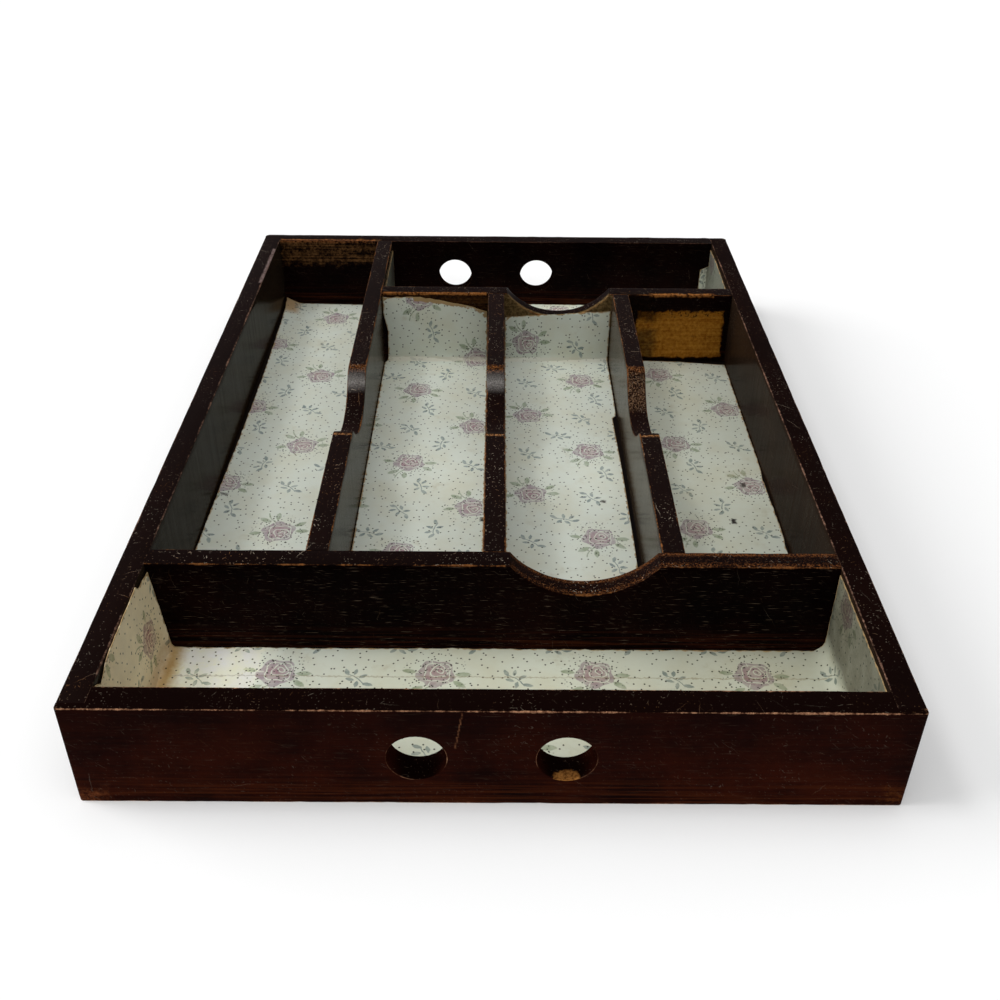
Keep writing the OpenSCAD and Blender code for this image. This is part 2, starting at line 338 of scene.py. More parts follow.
# %% [markdown]
# ## The end boards
# Two finger holes go through each end board. A boolean would leave long thin faces round a hole, so the
# hole is opened by hand: a square of faces is taken out on both sides, its rim is extruded and drawn to a
# circle, and the two circles are bridged.

# %% Finger holes
HOLE_R = 11.5 * MM
HOLE_X = 28.6 * MM
HOLE_FIELD = 15 * MM
BORE_CUTS = 3


def finger_hole(centre_x, centre_z):
    """Opens a round hole through the board in edit mode, along Y."""
    def inside(place):
        return max(abs(place.x - centre_x), abs(place.z - centre_z)) < HOLE_FIELD

    pick("FACE", lambda f: abs(f.normal.y) > FACING and inside(f.calc_center_median()))
    bpy.ops.mesh.delete(type="FACE")
    pick("EDGE", lambda e: e.is_boundary)
    bpy.ops.mesh.extrude_edges_move()
    mesh = bmesh.from_edit_mesh(bpy.context.object.data)
    for v in [v for v in mesh.verts if v.select]:
        turn = atan2(v.co.z - centre_z, v.co.x - centre_x)
        v.co.x = centre_x + HOLE_R * cos(turn)
        v.co.z = centre_z + HOLE_R * sin(turn)
    bmesh.update_edit_mesh(bpy.context.object.data)
    bpy.ops.mesh.bridge_edge_loops(number_cuts=BORE_CUTS)


print("holes in mm: radius", round(HOLE_R / MM, 1), "at", round(HOLE_X / MM, 1), "from the middle")

# %% [markdown]
# Each end board is as wide as the tray. Its ends are thinned to a lap that hides the end grain of the
# side boards, and a rebate under its inner edge takes the base panel. The board's middle is made first;
# the lap and the outer strip below are extruded from it.

# %% Two end boards
HOLE_CELL, HOLE_EASE = 2.5 * MM, 0.35 * MM
FRONT_CORNER_R, BACK_CORNER_R, ROUND_STEPS = 1.4 * MM, 3.0 * MM, 4


def end_board(name, node, way):
    """An end board; way is -1 in front and 1 at the back."""
    low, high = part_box(node)
    block = new_block(name, (-IN_X, low.y, FLOOR), (IN_X, high.y, RIM))
    hole_z = (low.z + high.z) / 2
    fine_x, fine_z = [], cells(hole_z - HOLE_FIELD, hole_z + HOLE_FIELD, HOLE_CELL)
    for s in (-1, 1):
        fine_x += cells(s * HOLE_X - HOLE_FIELD, s * HOLE_X + HOLE_FIELD, HOLE_CELL)
        fine_x += [s * HOLE_X - HOLE_FIELD, s * HOLE_X + HOLE_FIELD]
    far = HOLE_X + HOLE_FIELD
    near = HOLE_X - HOLE_FIELD
    slice_across(0, cells(-IN_X, -far) + cells(-near, near) + cells(far, IN_X) + fine_x)
    inner_y, ledge = (high.y, LEDGE_Y[0]) if way < 0 else (low.y, LEDGE_Y[1])
    slice_across(1, [way * LAP_Y, ledge])
    edge_z = [hole_z - HOLE_FIELD, hole_z + HOLE_FIELD]
    slice_across(2, cells(FLOOR, edge_z[0]) + edge_z + fine_z + cells(edge_z[1], RIM))
    pick("FACE", lambda f: f.normal.z < -FACING and abs(f.calc_center_median().y) > abs(ledge))
    push((0, 0, -FLOOR))
    for s in (-1, 1):
        pick("FACE", lambda f: f.normal.x * s > FACING and abs(f.calc_center_median().y) > LAP_Y)
        push((s * WALL, 0, 0))
    outer_x, outer_y = cad_box[1].x - FIT_GAP, cad_box[1].y - FIT_GAP
    pick("EDGE", lambda e: abs(middle(e).x) > outer_x and abs(middle(e).y) > outer_y and is_sharp(e)
         and abs(e.verts[0].co.z - e.verts[1].co.z) > FIT_GAP)
    corner_r = FRONT_CORNER_R if way < 0 else BACK_CORNER_R
    bpy.ops.mesh.bevel(offset=corner_r, segments=ROUND_STEPS, profile=0.5, affect="EDGES",
                       clamp_overlap=True)
    for s in (-1, 1):
        finger_hole(s * HOLE_X, hole_z)

    def in_hole(place):
        return sqrt((abs(place.x) - HOLE_X) ** 2 + (place.z - hole_z) ** 2) < HOLE_R + 2 * HOLE_EASE

    pick("EDGE", lambda e: is_sharp(e) and in_hole(middle(e)))
    bpy.ops.mesh.bevel(offset=HOLE_EASE, segments=ROUND_STEPS, profile=0.5, affect="EDGES",
                       clamp_overlap=True)

    def exposed(place):
        corner = abs(place.x) > outer_x - corner_r and abs(place.y) > outer_y - corner_r
        outer = abs(place.y) > outer_y or corner
        inner = abs(place.y - inner_y) < FIT_GAP
        rim = abs(place.z - RIM) < FIT_GAP
        lap_end = abs(place.x) > outer_x
        return not in_hole(place) and (outer or inner and rim or lap_end and rim)

    ease_edges(block, exposed)
    return block


front_board = end_board("front_end", "front_board", -1)
back_board = end_board("rear_end", "back_board", 1)

# %% [markdown]
# ## The side boards
# A side board is a plain strip with the same rebate for the base panel. Its ends are hidden behind
# the laps, so only its long edges are eased.

# %% Two side boards
def side_board(name, node):
    """A side board between the laps of the end boards."""
    low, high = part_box(node)
    block = new_block(name, (low.x, low.y, FLOOR), high)
    way = 1 if low.x > 0 else -1
    slice_across(1, [*LEDGE_Y] + cells(*LEDGE_Y))
    slice_across(0, [way * LEDGE_X])
    slice_across(2, cells(FLOOR, RIM))

    def below(face):
        at = face.calc_center_median()
        beside = abs(at.x) > LEDGE_X or not LEDGE_Y[0] < at.y < LEDGE_Y[1]
        return face.normal.z < -FACING and beside

    pick("FACE", below)
    push((0, 0, -FLOOR))

    def exposed(place):
        outer = abs(abs(place.x) - cad_box[1].x) < FIT_GAP
        rim = abs(place.z - RIM) < FIT_GAP
        return (outer or rim) and abs(place.y) < LAP_Y - FIT_GAP

    ease_edges(block, exposed)
    return block


left_side = side_board("left_strip", "left_side")
right_side = side_board("right_strip", "right_side")

# %% [markdown]
# ## The cross partitions
# Both partitions have a scoop over the third bay, one plain arc, so that fingers can reach the ends of
# the knives. The block is sliced finely there and its upper points are lowered to the arc, which keeps
# every face a clean four-sided one.

# %% Two partitions with a scoop
SCOOP_LAND, SCOOP_DEPTH = 1.7 * MM, 16 * MM
SCOOP_X = (MIDDLE_DIV[1] + RIGHT_DIV[0]) / 2
SCOOP_HALF = (RIGHT_DIV[0] - MIDDLE_DIV[1]) / 2 - SCOOP_LAND
SCOOP_R = (SCOOP_HALF ** 2 + SCOOP_DEPTH ** 2) / (2 * SCOOP_DEPTH)
SCOOP_Z = RIM - SCOOP_DEPTH + SCOOP_R
FINE = 1.5 * MM


def scoop_top(x):
    """Height of a partition's upper edge at x."""
    if abs(x - SCOOP_X) >= SCOOP_HALF:
        return RIM
    return min(RIM, SCOOP_Z - sqrt(SCOOP_R ** 2 - (x - SCOOP_X) ** 2))


def lower_top(top, axis):
    """Squeezes the mesh in edit mode so that its upper face follows a height given along one axis."""
    mesh = bmesh.from_edit_mesh(bpy.context.object.data)
    for v in mesh.verts:
        share = (v.co.z - FLOOR) / (RIM - FLOOR)
        v.co.z = FLOOR + share * (top(v.co[axis]) - FLOOR)
    bmesh.update_edit_mesh(bpy.context.object.data)


def partition(name, depth, left):
    """A cross partition from left to the right side board; depth is its front and back face."""
    block = new_block(name, (left, depth[0], FLOOR), (IN_X, depth[1], RIM))
    ends = [SCOOP_X - SCOOP_HALF, SCOOP_X + SCOOP_HALF]
    slice_across(0, cells(left, ends[0]) + ends + cells(*ends, FINE) + cells(ends[1], IN_X))
    slice_across(1, cells(*depth))
    slice_across(2, cells(FLOOR, RIM))
    lower_top(scoop_top, 0)

    def exposed(place):
        return place.z > FLOOR * 2 and left + FIT_GAP < place.x < IN_X - FIT_GAP

    ease_edges(block, exposed)
    return block


front_partition = partition("front_cross_board", FRONT_PART, -IN_X)
rear_partition = partition("rear_cross_board", REAR_PART, LEFT_DIV[1])

# %% [markdown]
# ## The long dividers
# Each divider has a hand dip in the middle of its length: a hollow arc that turns into two rounded
# shoulders. The height along the divider is written as a function of the place, from the same radii
# as in the solid, and the block is squeezed down to it in the same way.

# %% Three dividers with a hand dip
DIP_HALF, DIP_DEPTH, SHOULDER_R, DIP_EDGE = 37 * MM, 15.2 * MM, 9 * MM, 0.1 * MM
DIP_MARGIN = 2 * MM
DIP_DROP = DIP_DEPTH + DIP_EDGE
DIP_R = (DIP_HALF ** 2 + DIP_DROP ** 2) / (2 * DIP_DROP) - SHOULDER_R
DIP_Y = (FRONT_PART[1] + REAR_PART[0]) / 2
DIP_Z = RIM - DIP_DEPTH + DIP_R
TURN_Y = DIP_HALF * DIP_R / (DIP_R + SHOULDER_R)
SHOULDER_Z = RIM + DIP_EDGE - SHOULDER_R


def dip_top(y):
    """Height of a divider's upper edge at y."""
    out = abs(y - DIP_Y)
    if out < TURN_Y:
        return DIP_Z - sqrt(DIP_R ** 2 - out ** 2)
    if out < DIP_HALF:
        return min(RIM, SHOULDER_Z + sqrt(SHOULDER_R ** 2 - (DIP_HALF - out) ** 2))
    return RIM


def divider(name, width, back):
    """A long divider from the front partition to back; width is its left and right face."""
    front = FRONT_PART[1]
    block = new_block(name, (width[0], front, FLOOR), (width[1], back, RIM))
    reach = DIP_HALF + DIP_MARGIN
    ends = [DIP_Y - reach, DIP_Y + reach]
    slice_across(1, cells(front, ends[0]) + ends + cells(*ends, FINE) + cells(ends[1], back))
    slice_across(0, cells(*width))
    slice_across(2, cells(FLOOR, RIM))
    lower_top(dip_top, 1)

    def exposed(place):
        return place.z > FLOOR * 2 and front + FIT_GAP < place.y < back - FIT_GAP

    ease_edges(block, exposed)
    return block


left_divider = divider("left_long_board", LEFT_DIV, BACK_IN)
middle_divider = divider("middle_long_board", MIDDLE_DIV, REAR_PART[0])
right_divider = divider("right_long_board", RIGHT_DIV, REAR_PART[0])

# %% [markdown]
# ## The paper
# Each bay has its own sheet of shelf paper. A sheet starts as a flat grid, cut to its real outline:
# straight where scissors went, ragged where it tore. The flat place of every point is kept as its UV,
# in units of 100 mm, so that the print follows the folds, and its distance from the cut edge is kept
# too, because old paper browns there. Then the sheet is laid: flat on the floor, bent through a small
# radius, up a wall. Solidify gives it the thickness of stout paper.

# %% Helpers for paper
PAPER, PAPER_CELL, PAPER_AIR = 0.3 * MM, 3 * MM, 0.02 * MM
LIE = FLOOR + PAPER / 2 + PAPER_AIR
UV_UNIT = 100 * MM
TEARS_PER_M, TEAR_AT, FINE_TEARS, FINE_SHARE = 310, (7.3, 1.7), 3.1, 0.6


def in_mm(*points):
    """Pairs of sizes that are given in millimetres."""
    return [(x * MM, value * MM) for x, value in points]


def along(points, x):
    """The value at x on a line through (x, value) points."""
    if x <= points[0][0]:
        return points[0][1]
    for (x0, v0), (x1, v1) in zip(points, points[1:]):
        if x <= x1:
            return v0 + (v1 - v0) * (x - x0) / (x1 - x0)
    return points[-1][1]


def turn_up(past, radius, angle=pi / 2):
    """Run and rise of a sheet that is some length past the start of a bend through an angle."""
    turned = min(max(past / radius, 0.0), angle)
    rest = max(past - radius * angle, 0.0)
    run = min(past, 0.0) + radius * sin(turned) + rest * cos(angle)
    return run, radius * (1 - cos(turned)) + rest * sin(angle)


def reach_up(rise, radius, angle=pi / 2):
    """The length past the start of a bend at which a sheet has risen so far."""
    return radius * angle + (rise - radius * (1 - cos(angle))) / sin(angle)


def ragged(place, size, row):
    """A small torn wander along an edge, the same on every run; each edge reads its own row of noise."""
    where = Vector(((place + row) * TEARS_PER_M, *TEAR_AT))
    return size * (noise.noise(where) + FINE_SHARE * noise.noise(where * FINE_TEARS))


def paper_sheet(name, width, length, cut, lay, cell=PAPER_CELL):
    """A sheet as a grid: cut maps its 0 to 1 square to a flat outline, lay maps that to its place."""
    bpy.ops.object.select_all(action="DESELECT")
    bpy.ops.mesh.primitive_grid_add(
        x_subdivisions=round(width / cell), y_subdivisions=round(length / cell), size=1)
    sheet = bpy.context.object
    sheet.name = sheet.data.name = name
    mesh = sheet.data
    flat, edge = [], []
    for v in mesh.vertices:
        s, t = v.co.x + 0.5, v.co.y + 0.5
        flat.append(cut(s, t))
        ends = (cut(0, t), cut(1, t), cut(s, 0), cut(s, 1))
        edge.append(min((Vector(flat[-1]) - Vector(end)).length for end in ends) / MM)
    mesh.attributes.new("edge_mm", "FLOAT", "POINT").data.foreach_set("value", edge)
    uv = mesh.uv_layers.active.data
    for loop in mesh.loops:
        uv[loop.index].uv = [c / UV_UNIT for c in flat[loop.vertex_index]]
    for v, (a, b) in zip(mesh.vertices, flat):
        v.co = lay(a, b)
    bpy.ops.object.mode_set(mode="EDIT")
    bpy.ops.mesh.select_all(action="SELECT")
    bpy.ops.mesh.normals_make_consistent(inside=False)
    bpy.ops.object.mode_set(mode="OBJECT")
    thick = sheet.modifiers.new("paper", "SOLIDIFY")
    thick.thickness = PAPER
    thick.offset = 0
    thick.material_offset = 1
    thick.material_offset_rim = 0
    bpy.ops.object.modifier_apply(modifier=thick.name)
    return sheet


print("paper in mm:", round(PAPER / MM, 2))

# %% [markdown]
# The front and rear sheets run across the tray and turn up on the boards at both ends. The left end of
# the front one was never pressed home, so it leans, and it has a torn notch. The shape of that end is
# written as points along its length: how far out its foot stands, and how high its top reaches.

# %% The front sheet
RIPPLES_PER_M, RIPPLE_AT, RIPPLE_FADE = 21, 4.2, 9 * MM


def ripple(x, y, size, room):
    """A gentle rise of paper that no longer lies quite flat, which dies out where room for it ends."""
    rise = max(0.0, noise.noise(Vector((x * RIPPLES_PER_M, y * RIPPLES_PER_M, RIPPLE_AT))))
    return size * rise * min(max(room / RIPPLE_FADE, 0.0), 1.0)


FRONT_EDGE, FRONT_BACK = FRONT_IN + 1.0 * MM, FRONT_PART[0] - 1.2 * MM
FRONT_CELL, LEFT_BEND, RIGHT_BEND = 2.5 * MM, 2.5 * MM, 6 * MM
RIGHT_START = IN_X - PAPER - RIGHT_BEND
LEFT_FOOT = in_mm((-219, 3), (-171, 3.2), (-152, 2.6), (-146, 5))
LEFT_TOP = in_mm((-218.5, 46), (-216.5, 45), (-213, 42), (-208, 44.5), (-203, 46.3), (-160, 46.8),
                 (-158, 43.4), (-146, 43.2))
RIGHT_TOP = 44 * MM
CREASE_Y, CREASE_RISE, CREASE_HALF = -164.2 * MM, 0.35 * MM, 2.5 * MM
BACK_STRETCH, BACK_ROW = 0.3, 0.98


def left_fold(y):
    """Where the front sheet starts to bend up at its left end, and how steeply it stands there."""
    foot = along(LEFT_FOOT, y)
    return IN_X - PAPER - LEFT_BEND - foot, atan2(RIM, foot)


def cut_front(s, t):
    """The front sheet's flat outline: straight in front, ragged at both ends and along the back."""
    y = FRONT_EDGE + t * (FRONT_BACK - FRONT_EDGE)
    start, lean = left_fold(y)
    left = -start - reach_up(along(LEFT_TOP, y), LEFT_BEND, lean) - ragged(y, 0.4 * MM, 0)
    right = RIGHT_START + reach_up(RIGHT_TOP, RIGHT_BEND) + ragged(y, 0.4 * MM, 1)
    back = ragged(s * BACK_STRETCH, 0.5 * MM, 2) * (t > BACK_ROW)
    return left + s * (right - left), y + back


def lay_front(x, y):
    """The front sheet's place: flat with one crease, leaning on the left, upright on the right."""
    (start, lean), bend = (left_fold(y), LEFT_BEND) if x < 0 else ((RIGHT_START, pi / 2), RIGHT_BEND)
    run, rise = turn_up(abs(x) - start, bend, lean)
    crease = CREASE_RISE * max(0.0, 1 - abs(y - CREASE_Y) / CREASE_HALF) * (rise == 0)
    lift = crease + ripple(x, y, 0.4 * MM, start - abs(x))
    return Vector(((start + run) * (1 if x > 0 else -1), y, LIE + rise + lift))


front_sheet = paper_sheet("front_bay_paper", 392 * MM, 73 * MM, cut_front, lay_front, FRONT_CELL)
print("front sheet:", len(front_sheet.data.polygons))

# %% [markdown]
# The rear sheet is shorter, because the left bay runs through beside it. A small tab at its right end is
# folded round the corner on to the back board: the cut adds the tab, and the lay turns it a second time.

# %% The rear sheet
REAR_FRONT, REAR_BACK = REAR_PART[1] + 1.0 * MM, BACK_IN - 0.8 * MM
REAR_MIDDLE = (LEFT_DIV[1] + IN_X) / 2
REAR_START = IN_X - REAR_MIDDLE - PAPER - RIGHT_BEND
REAR_LEFT_TOP = 40 * MM
REAR_RIGHT_TOP = in_mm((147, 41), (197, 43), (220, 42))
TAB_W, TAB_TOP, TAB_BEND = 6 * MM, 26 * MM, 0.6 * MM
TAB_FOOT_SLOPE, TAB_TOP_SLOPE, TAB_ROOT = 3 * MM, 1.5 * MM, 0.15


def cut_rear(s, t):
    """The rear sheet's flat outline, with the tab."""
    y = REAR_FRONT + t * (REAR_BACK - REAR_FRONT)
    left = REAR_MIDDLE - REAR_START - reach_up(REAR_LEFT_TOP, RIGHT_BEND) - ragged(y, 0.6 * MM, 3)
    right = REAR_MIDDLE + REAR_START + reach_up(along(REAR_RIGHT_TOP, y), RIGHT_BEND)
    right += ragged(y, 0.3 * MM, 4)
    x = left + s * (right - left)
    up = x - IN_X
    tab = TAB_W * max(0.0, min(1.0, up / TAB_FOOT_SLOPE, (TAB_TOP - up) / TAB_TOP_SLOPE))
    return x, y + tab * max(0.0, (t + TAB_ROOT - 1) / TAB_ROOT)


def lay_rear(x, y):
    """The rear sheet's place: flat, upright at both ends, the tab turned on to the back board."""
    run, rise = turn_up(abs(x - REAR_MIDDLE) - REAR_START, RIGHT_BEND)
    lift = ripple(x, y, 0.4 * MM, REAR_START - abs(x - REAR_MIDDLE))
    corner = BACK_IN - PAPER - TAB_BEND
    past, inward = turn_up(y - corner, TAB_BEND)
    side = 1 if x > REAR_MIDDLE else -1
    return Vector((REAR_MIDDLE + (REAR_START + run) * side - inward, corner + past, LIE + rise + lift))


rear_sheet = paper_sheet("rear_bay_paper", 302 * MM, 74 * MM, cut_rear, lay_rear)
print("rear sheet:", len(rear_sheet.data.polygons))

# %% [markdown]
# The four long sheets lie between the dividers. The second and third were cut long and turn up on the
# rear partition, one torn along its top, the other trimmed lower. The third was cut too narrow, with a
# step, so a dark strip of floor shows along the right divider.

# %% The four long sheets
BAY_FRONT = FRONT_PART[1] + 1.0 * MM
REAR_BEND, SIDE_GAP = 2.2 * MM, 0.8 * MM


def lay_long(x, y):
    """A long sheet's place: flat, and upright on the rear partition where it reaches that far."""
    start = REAR_PART[0] - PAPER - REAR_BEND
    run, rise = turn_up(y - start, REAR_BEND)
    lift = ripple(x, y, 0.5 * MM, start - y)
    return Vector((x, start + run, LIE + rise + lift))


LEFT_GAP = in_mm((-134, 0.4), (-73, 0.5), (30, 2.0), (110, 2.8), (221, 1.2))
LEFT_END = [(0, 1.5 * MM), (1, 4.5 * MM)]
CURL_IN, CURL_W, CURL_RISE = 2 * MM, 9 * MM, 1.2 * MM
CORNER_Y, CORNER_L, CORNER_RISE = 205 * MM, 16 * MM, 3.0 * MM


def cut_left(s, t):
    """The left sheet's flat outline: a wandering gap on the left, and a slanting rear end."""
    y1 = BACK_IN - along(LEFT_END, s)
    y = BAY_FRONT + t * (y1 - BAY_FRONT)
    left = -IN_X + along(LEFT_GAP, y) + ragged(y, 0.35 * MM, 5)
    right = LEFT_DIV[0] - SIDE_GAP
    return left + s * (right - left), y


def lay_left(x, y):
    """The left sheet's place: flat, with its left edge curled and its rear left corner lifted."""
    edge = max(0.0, 1 - (x + IN_X - CURL_IN) / CURL_W)
    corner = max(0.0, (y - CORNER_Y) / CORNER_L) * edge
    lift = ripple(x, y, 0.5 * MM, IN_X) + CURL_RISE * edge ** 2 + CORNER_RISE * corner
    return Vector((x, y, LIE + lift))


SECOND_TOP = in_mm((-71, 42.5), (-60, 42.9), (-48, 42.7), (-35, 41.1), (-22, 38.4), (-10, 35.8), (-5, 33.8))
SECOND_GAP = in_mm((131, 0.4), (134, 2.2), (155, 2.9), (166, 0.6))
LOOSE_Z, LOOSE_TALL, LOOSE_X, LOOSE_WIDE = 34 * MM, 8 * MM, -34 * MM, 29 * MM
LOOSE_LEAN = 2.2 * MM


def cut_second(s, t):
    """The second sheet's flat outline, torn along its upturned end."""
    flat_x = LEFT_DIV[1] + s * (MIDDLE_DIV[0] - LEFT_DIV[1])
    y1 = REAR_PART[0] + along(SECOND_TOP, flat_x) + ragged(flat_x, 0.9 * MM, 6)
    y = BAY_FRONT + t * (y1 - BAY_FRONT)
    x0, x1 = LEFT_DIV[1] + along(SECOND_GAP, y), MIDDLE_DIV[0] - SIDE_GAP
    return x0 + s * (x1 - x0), y


def lay_second(x, y):
    """The second sheet's place: as the others, with its top right corner leaning off the partition."""
    place = lay_long(x, y)
    loose = max(0.0, (place.z - LOOSE_Z) / LOOSE_TALL) * max(0.0, (x - LOOSE_X) / LOOSE_WIDE)
    place.y -= LOOSE_LEAN * loose
    return place


THIRD_TOP = in_mm((6, 29.5), (36, 31.6), (71, 34))
THIRD_GAP = in_mm((-134, 3.2), (-66, 2.2), (4, 2.4), (61.5, 3.2), (64, 0.8), (83, 0.6))
THIRD_SHORT = 3.1 * MM


def cut_third(s, t):
    """The third sheet's flat outline, too narrow on the right, with a step."""
    x0 = MIDDLE_DIV[1] + SIDE_GAP
    flat_x = x0 + s * (RIGHT_DIV[0] - THIRD_SHORT - x0)
    y1 = REAR_PART[0] + along(THIRD_TOP, flat_x) + ragged(flat_x, 0.4 * MM, 7)
    y = BAY_FRONT + t * (y1 - BAY_FRONT)
    return x0 + s * (RIGHT_DIV[0] - along(THIRD_GAP, y) - x0), y


FOURTH_GAP = in_mm((-134, 0.6), (-66, 1.2), (-58, 0.4), (-6, 1.2), (6, 0.4))
FOURTH_END = [(0, 0.6 * MM), (0.55, 1.6 * MM), (1, 5.2 * MM)]


def cut_fourth(s, t):
    """The fourth sheet's flat outline, which ends short of the rear partition on the right."""
    y1 = REAR_PART[0] - along(FOURTH_END, s)
    y = BAY_FRONT + t * (y1 - BAY_FRONT)
    x0, x1 = RIGHT_DIV[1] + SIDE_GAP, IN_X - along(FOURTH_GAP, y) - ragged(y, 0.4 * MM, 8)
    return x0 + s * (x1 - x0), y


left_sheet = paper_sheet("left_bay_paper", 66 * MM, 353 * MM, cut_left, lay_left)
second_sheet = paper_sheet("second_bay_paper", 66 * MM, 312 * MM, cut_second, lay_second)
third_sheet = paper_sheet("third_bay_paper", 65 * MM, 300 * MM, cut_third, lay_long)
fourth_sheet = paper_sheet("fourth_bay_paper", 64 * MM, 268 * MM, cut_fourth, lay_long)
print("long sheets:", [len(s.data.polygons) for s in (left_sheet, second_sheet, third_sheet, fourth_sheet)])

# %% [markdown]
# ## The varnished wood
# The boards are a close-grained wood, stained nearly black-red and brushed with a spirit varnish. Years
# of hands have rubbed the edges back to orange-brown wood, grime has blackened the upper faces, and
# knives have left pale nicks. Each of these is a mask, and the masks are laid over each other from the
# wood upwards. They are built from three: a soft step, a box, and a scatter of short marks.

# %% Masks for the wood
def smooth_step(tree, value, low, high):
    """A mask that rises softly from 0 to 1 as a value goes from low to high."""
    return add_node(tree, "MapRange", {"Value": value, "From Min": low, "From Max": high},
                    interpolation_type="SMOOTHSTEP")


def box_mask(tree, at, low, high, soft):
    """A mask that is 1 inside a box in mm and fades over a soft edge."""
    centre = [(a + b) / 2 for a, b in zip(low, high)]
    half = [(b - a) / 2 for a, b in zip(low, high)]
    out = add_node(tree, "VectorMath", {0: at, 1: centre}, operation="SUBTRACT")
    out = add_node(tree, "VectorMath", {0: out}, operation="ABSOLUTE")
    out = add_node(tree, "VectorMath", {0: out, 1: half}, operation="SUBTRACT")
    parts = add_node(tree, "SeparateXYZ", {0: out}).node.outputs
    most = add_node(tree, "Math", {0: parts[0], 1: parts[1]}, operation="MAXIMUM")
    most = add_node(tree, "Math", {0: most, 1: parts[2]}, operation="MAXIMUM")
    return smooth_step(tree, most, soft, -soft)


def nick_mask(tree, at, cell, length, width, share):
    """Short marks, one in some of the cells of a random pattern, each with its own slant and strength."""
    spot = add_node(tree, "TexVoronoi", {"Vector": at, "Scale": 1 / cell}, voronoi_dimensions="2D").node
    local = add_node(tree, "VectorMath", {0: at, 1: spot.outputs["Position"]}, operation="SUBTRACT")
    chance = add_node(tree, "SeparateColor", {0: spot.outputs["Color"]}).node.outputs
    turn = add_node(tree, "Math", {0: chance[0], 1: 2 * pi}, operation="MULTIPLY")
    local = add_node(tree, "VectorRotate", {"Vector": local, "Angle": turn}, rotation_type="Z_AXIS")
    half = add_node(tree, "MapRange", {"Value": chance[2], "To Min": length / 8, "To Max": length / 2})
    size = add_node(tree, "CombineXYZ", {0: half, 1: width / 2, 2: 1.0})
    scaled = add_node(tree, "VectorMath", {0: local, 1: size}, operation="DIVIDE")
    reach = add_node(tree, "VectorMath", {0: scaled}, out="Value", operation="LENGTH")
    mark = smooth_step(tree, reach, 1.0, 0.4)
    kept = add_node(tree, "MapRange", {"Value": chance[1], "From Min": share, "From Max": 0.0,
                                       "To Min": 0.0, "To Max": 1.6})
    return add_node(tree, "Math", {0: mark, 1: kept}, operation="MULTIPLY", use_clamp=True)


print("masks:", [made.__name__ for made in (smooth_step, box_mask, nick_mask)])

# %% [markdown]
# The layers of one finish read the same few noises, so that marks that belong together agree. The place is
# turned to millimetres first, so every size below is a real one: fibres long and narrow, clouds as broad
# as a hand, patches of wear, grit, and flecks that are finer still. A shake is a noise with a direction,
# which pushes a place about before a mask is drawn there. A plain namespace carries them all by name.

# %% Noises that the layers of a finish share
GRAIN_LONG, GRAIN_WIDE = 60.0, 1.4
# Each noise has a name, a size in mm, a detail and a roughness.
WOOD_NOISES = [("cloud", 38.0, 4.0, 0.6), ("patchy", 14.0, 3.0, 0.5), ("fine", 1.8, 4.0, 0.75),
               ("flecks", 0.7, 3.0, 0.7)]
WOOD_SHAKES = [("shake", 6.0, 5.0, 0.7)]


def place_in_mm(tree):
    """The place of a point in the tray's frame, in millimetres."""
    place = add_node(tree, "TexCoord", out="Object")
    return add_node(tree, "VectorMath", {0: place, "Scale": 1 / MM}, operation="SCALE")


def stretched(tree, at, axis, length, width):
    """The place in mm, scaled so that noise runs out along one axis."""
    scale = [1 / length if i == axis else 1 / width for i in range(3)]
    return add_node(tree, "VectorMath", {0: at, 1: scale}, operation="MULTIPLY")


def noise_set(tree, at, evens, shakes):
    """Noises at a place in mm, by name: even ones from 0 to 1, and shakes from -0.5 to 0.5 on each axis."""
    found = SimpleNamespace(at=at)
    for label, size, detail, rough in evens + shakes:
        out = "Color" if (label, size, detail, rough) in shakes else 0
        made = add_node(tree, "TexNoise", {"Vector": at, "Scale": 1 / size, "Detail": detail,
                                           "Roughness": rough}, out)
        if out:
            made = add_node(tree, "VectorMath", {0: made, 1: (-0.5, -0.5, -0.5)}, operation="ADD")
        setattr(found, label, made)
    return found


def wood_set(tree, grain_axis):
    """What the layers of one wood share: noises, the place on each axis, and which way a face looks."""
    at = place_in_mm(tree)
    wood = noise_set(tree, at, WOOD_NOISES, WOOD_SHAKES)
    fibres = stretched(tree, at, grain_axis, GRAIN_LONG, GRAIN_WIDE)
    wood.grain = add_node(tree, "TexNoise", {"Vector": fibres, "Scale": 1.0, "Detail": 5.0,
                                             "Roughness": 0.65})
    wood.grain_axis = grain_axis
    wood.x, wood.y, wood.z = add_node(tree, "SeparateXYZ", {0: at}).node.outputs
    facing = add_node(tree, "NewGeometry", out="Normal")
    wood.sideways, _, wood.upward = add_node(tree, "SeparateXYZ", {0: facing}).node.outputs
    wood.top = smooth_step(tree, wood.upward, 0.45, 0.95)
    return wood


print("noises in the wood:", [label for label, *_ in WOOD_NOISES + WOOD_SHAKES])

# %% [markdown]
# The stain sits deeper in some fibres than in others, clouds over a hand's breadth and is darker towards the
# top. Low on the faces the varnish is scuffed thin, so the redder wood shows in streaks. Dust clings to the
# faces inside the bays, and its pale colour there is partly a painted sheen; grime blackens the upward ones,
# and pale dust fills the open pores.

# %% Stain, dust and grime
PORE_LONG, PORE_WIDE = 7.0, 0.45
SCUFF_FROM, SCUFF_FULL = 19.0, 1.0
INNER_REACH = (IN_X + WALL / 2) / MM
SCUFF_RED, GRIME_BLACK, PORE_DUST = "#45200f", "#0c0403", "#7d6b5b"


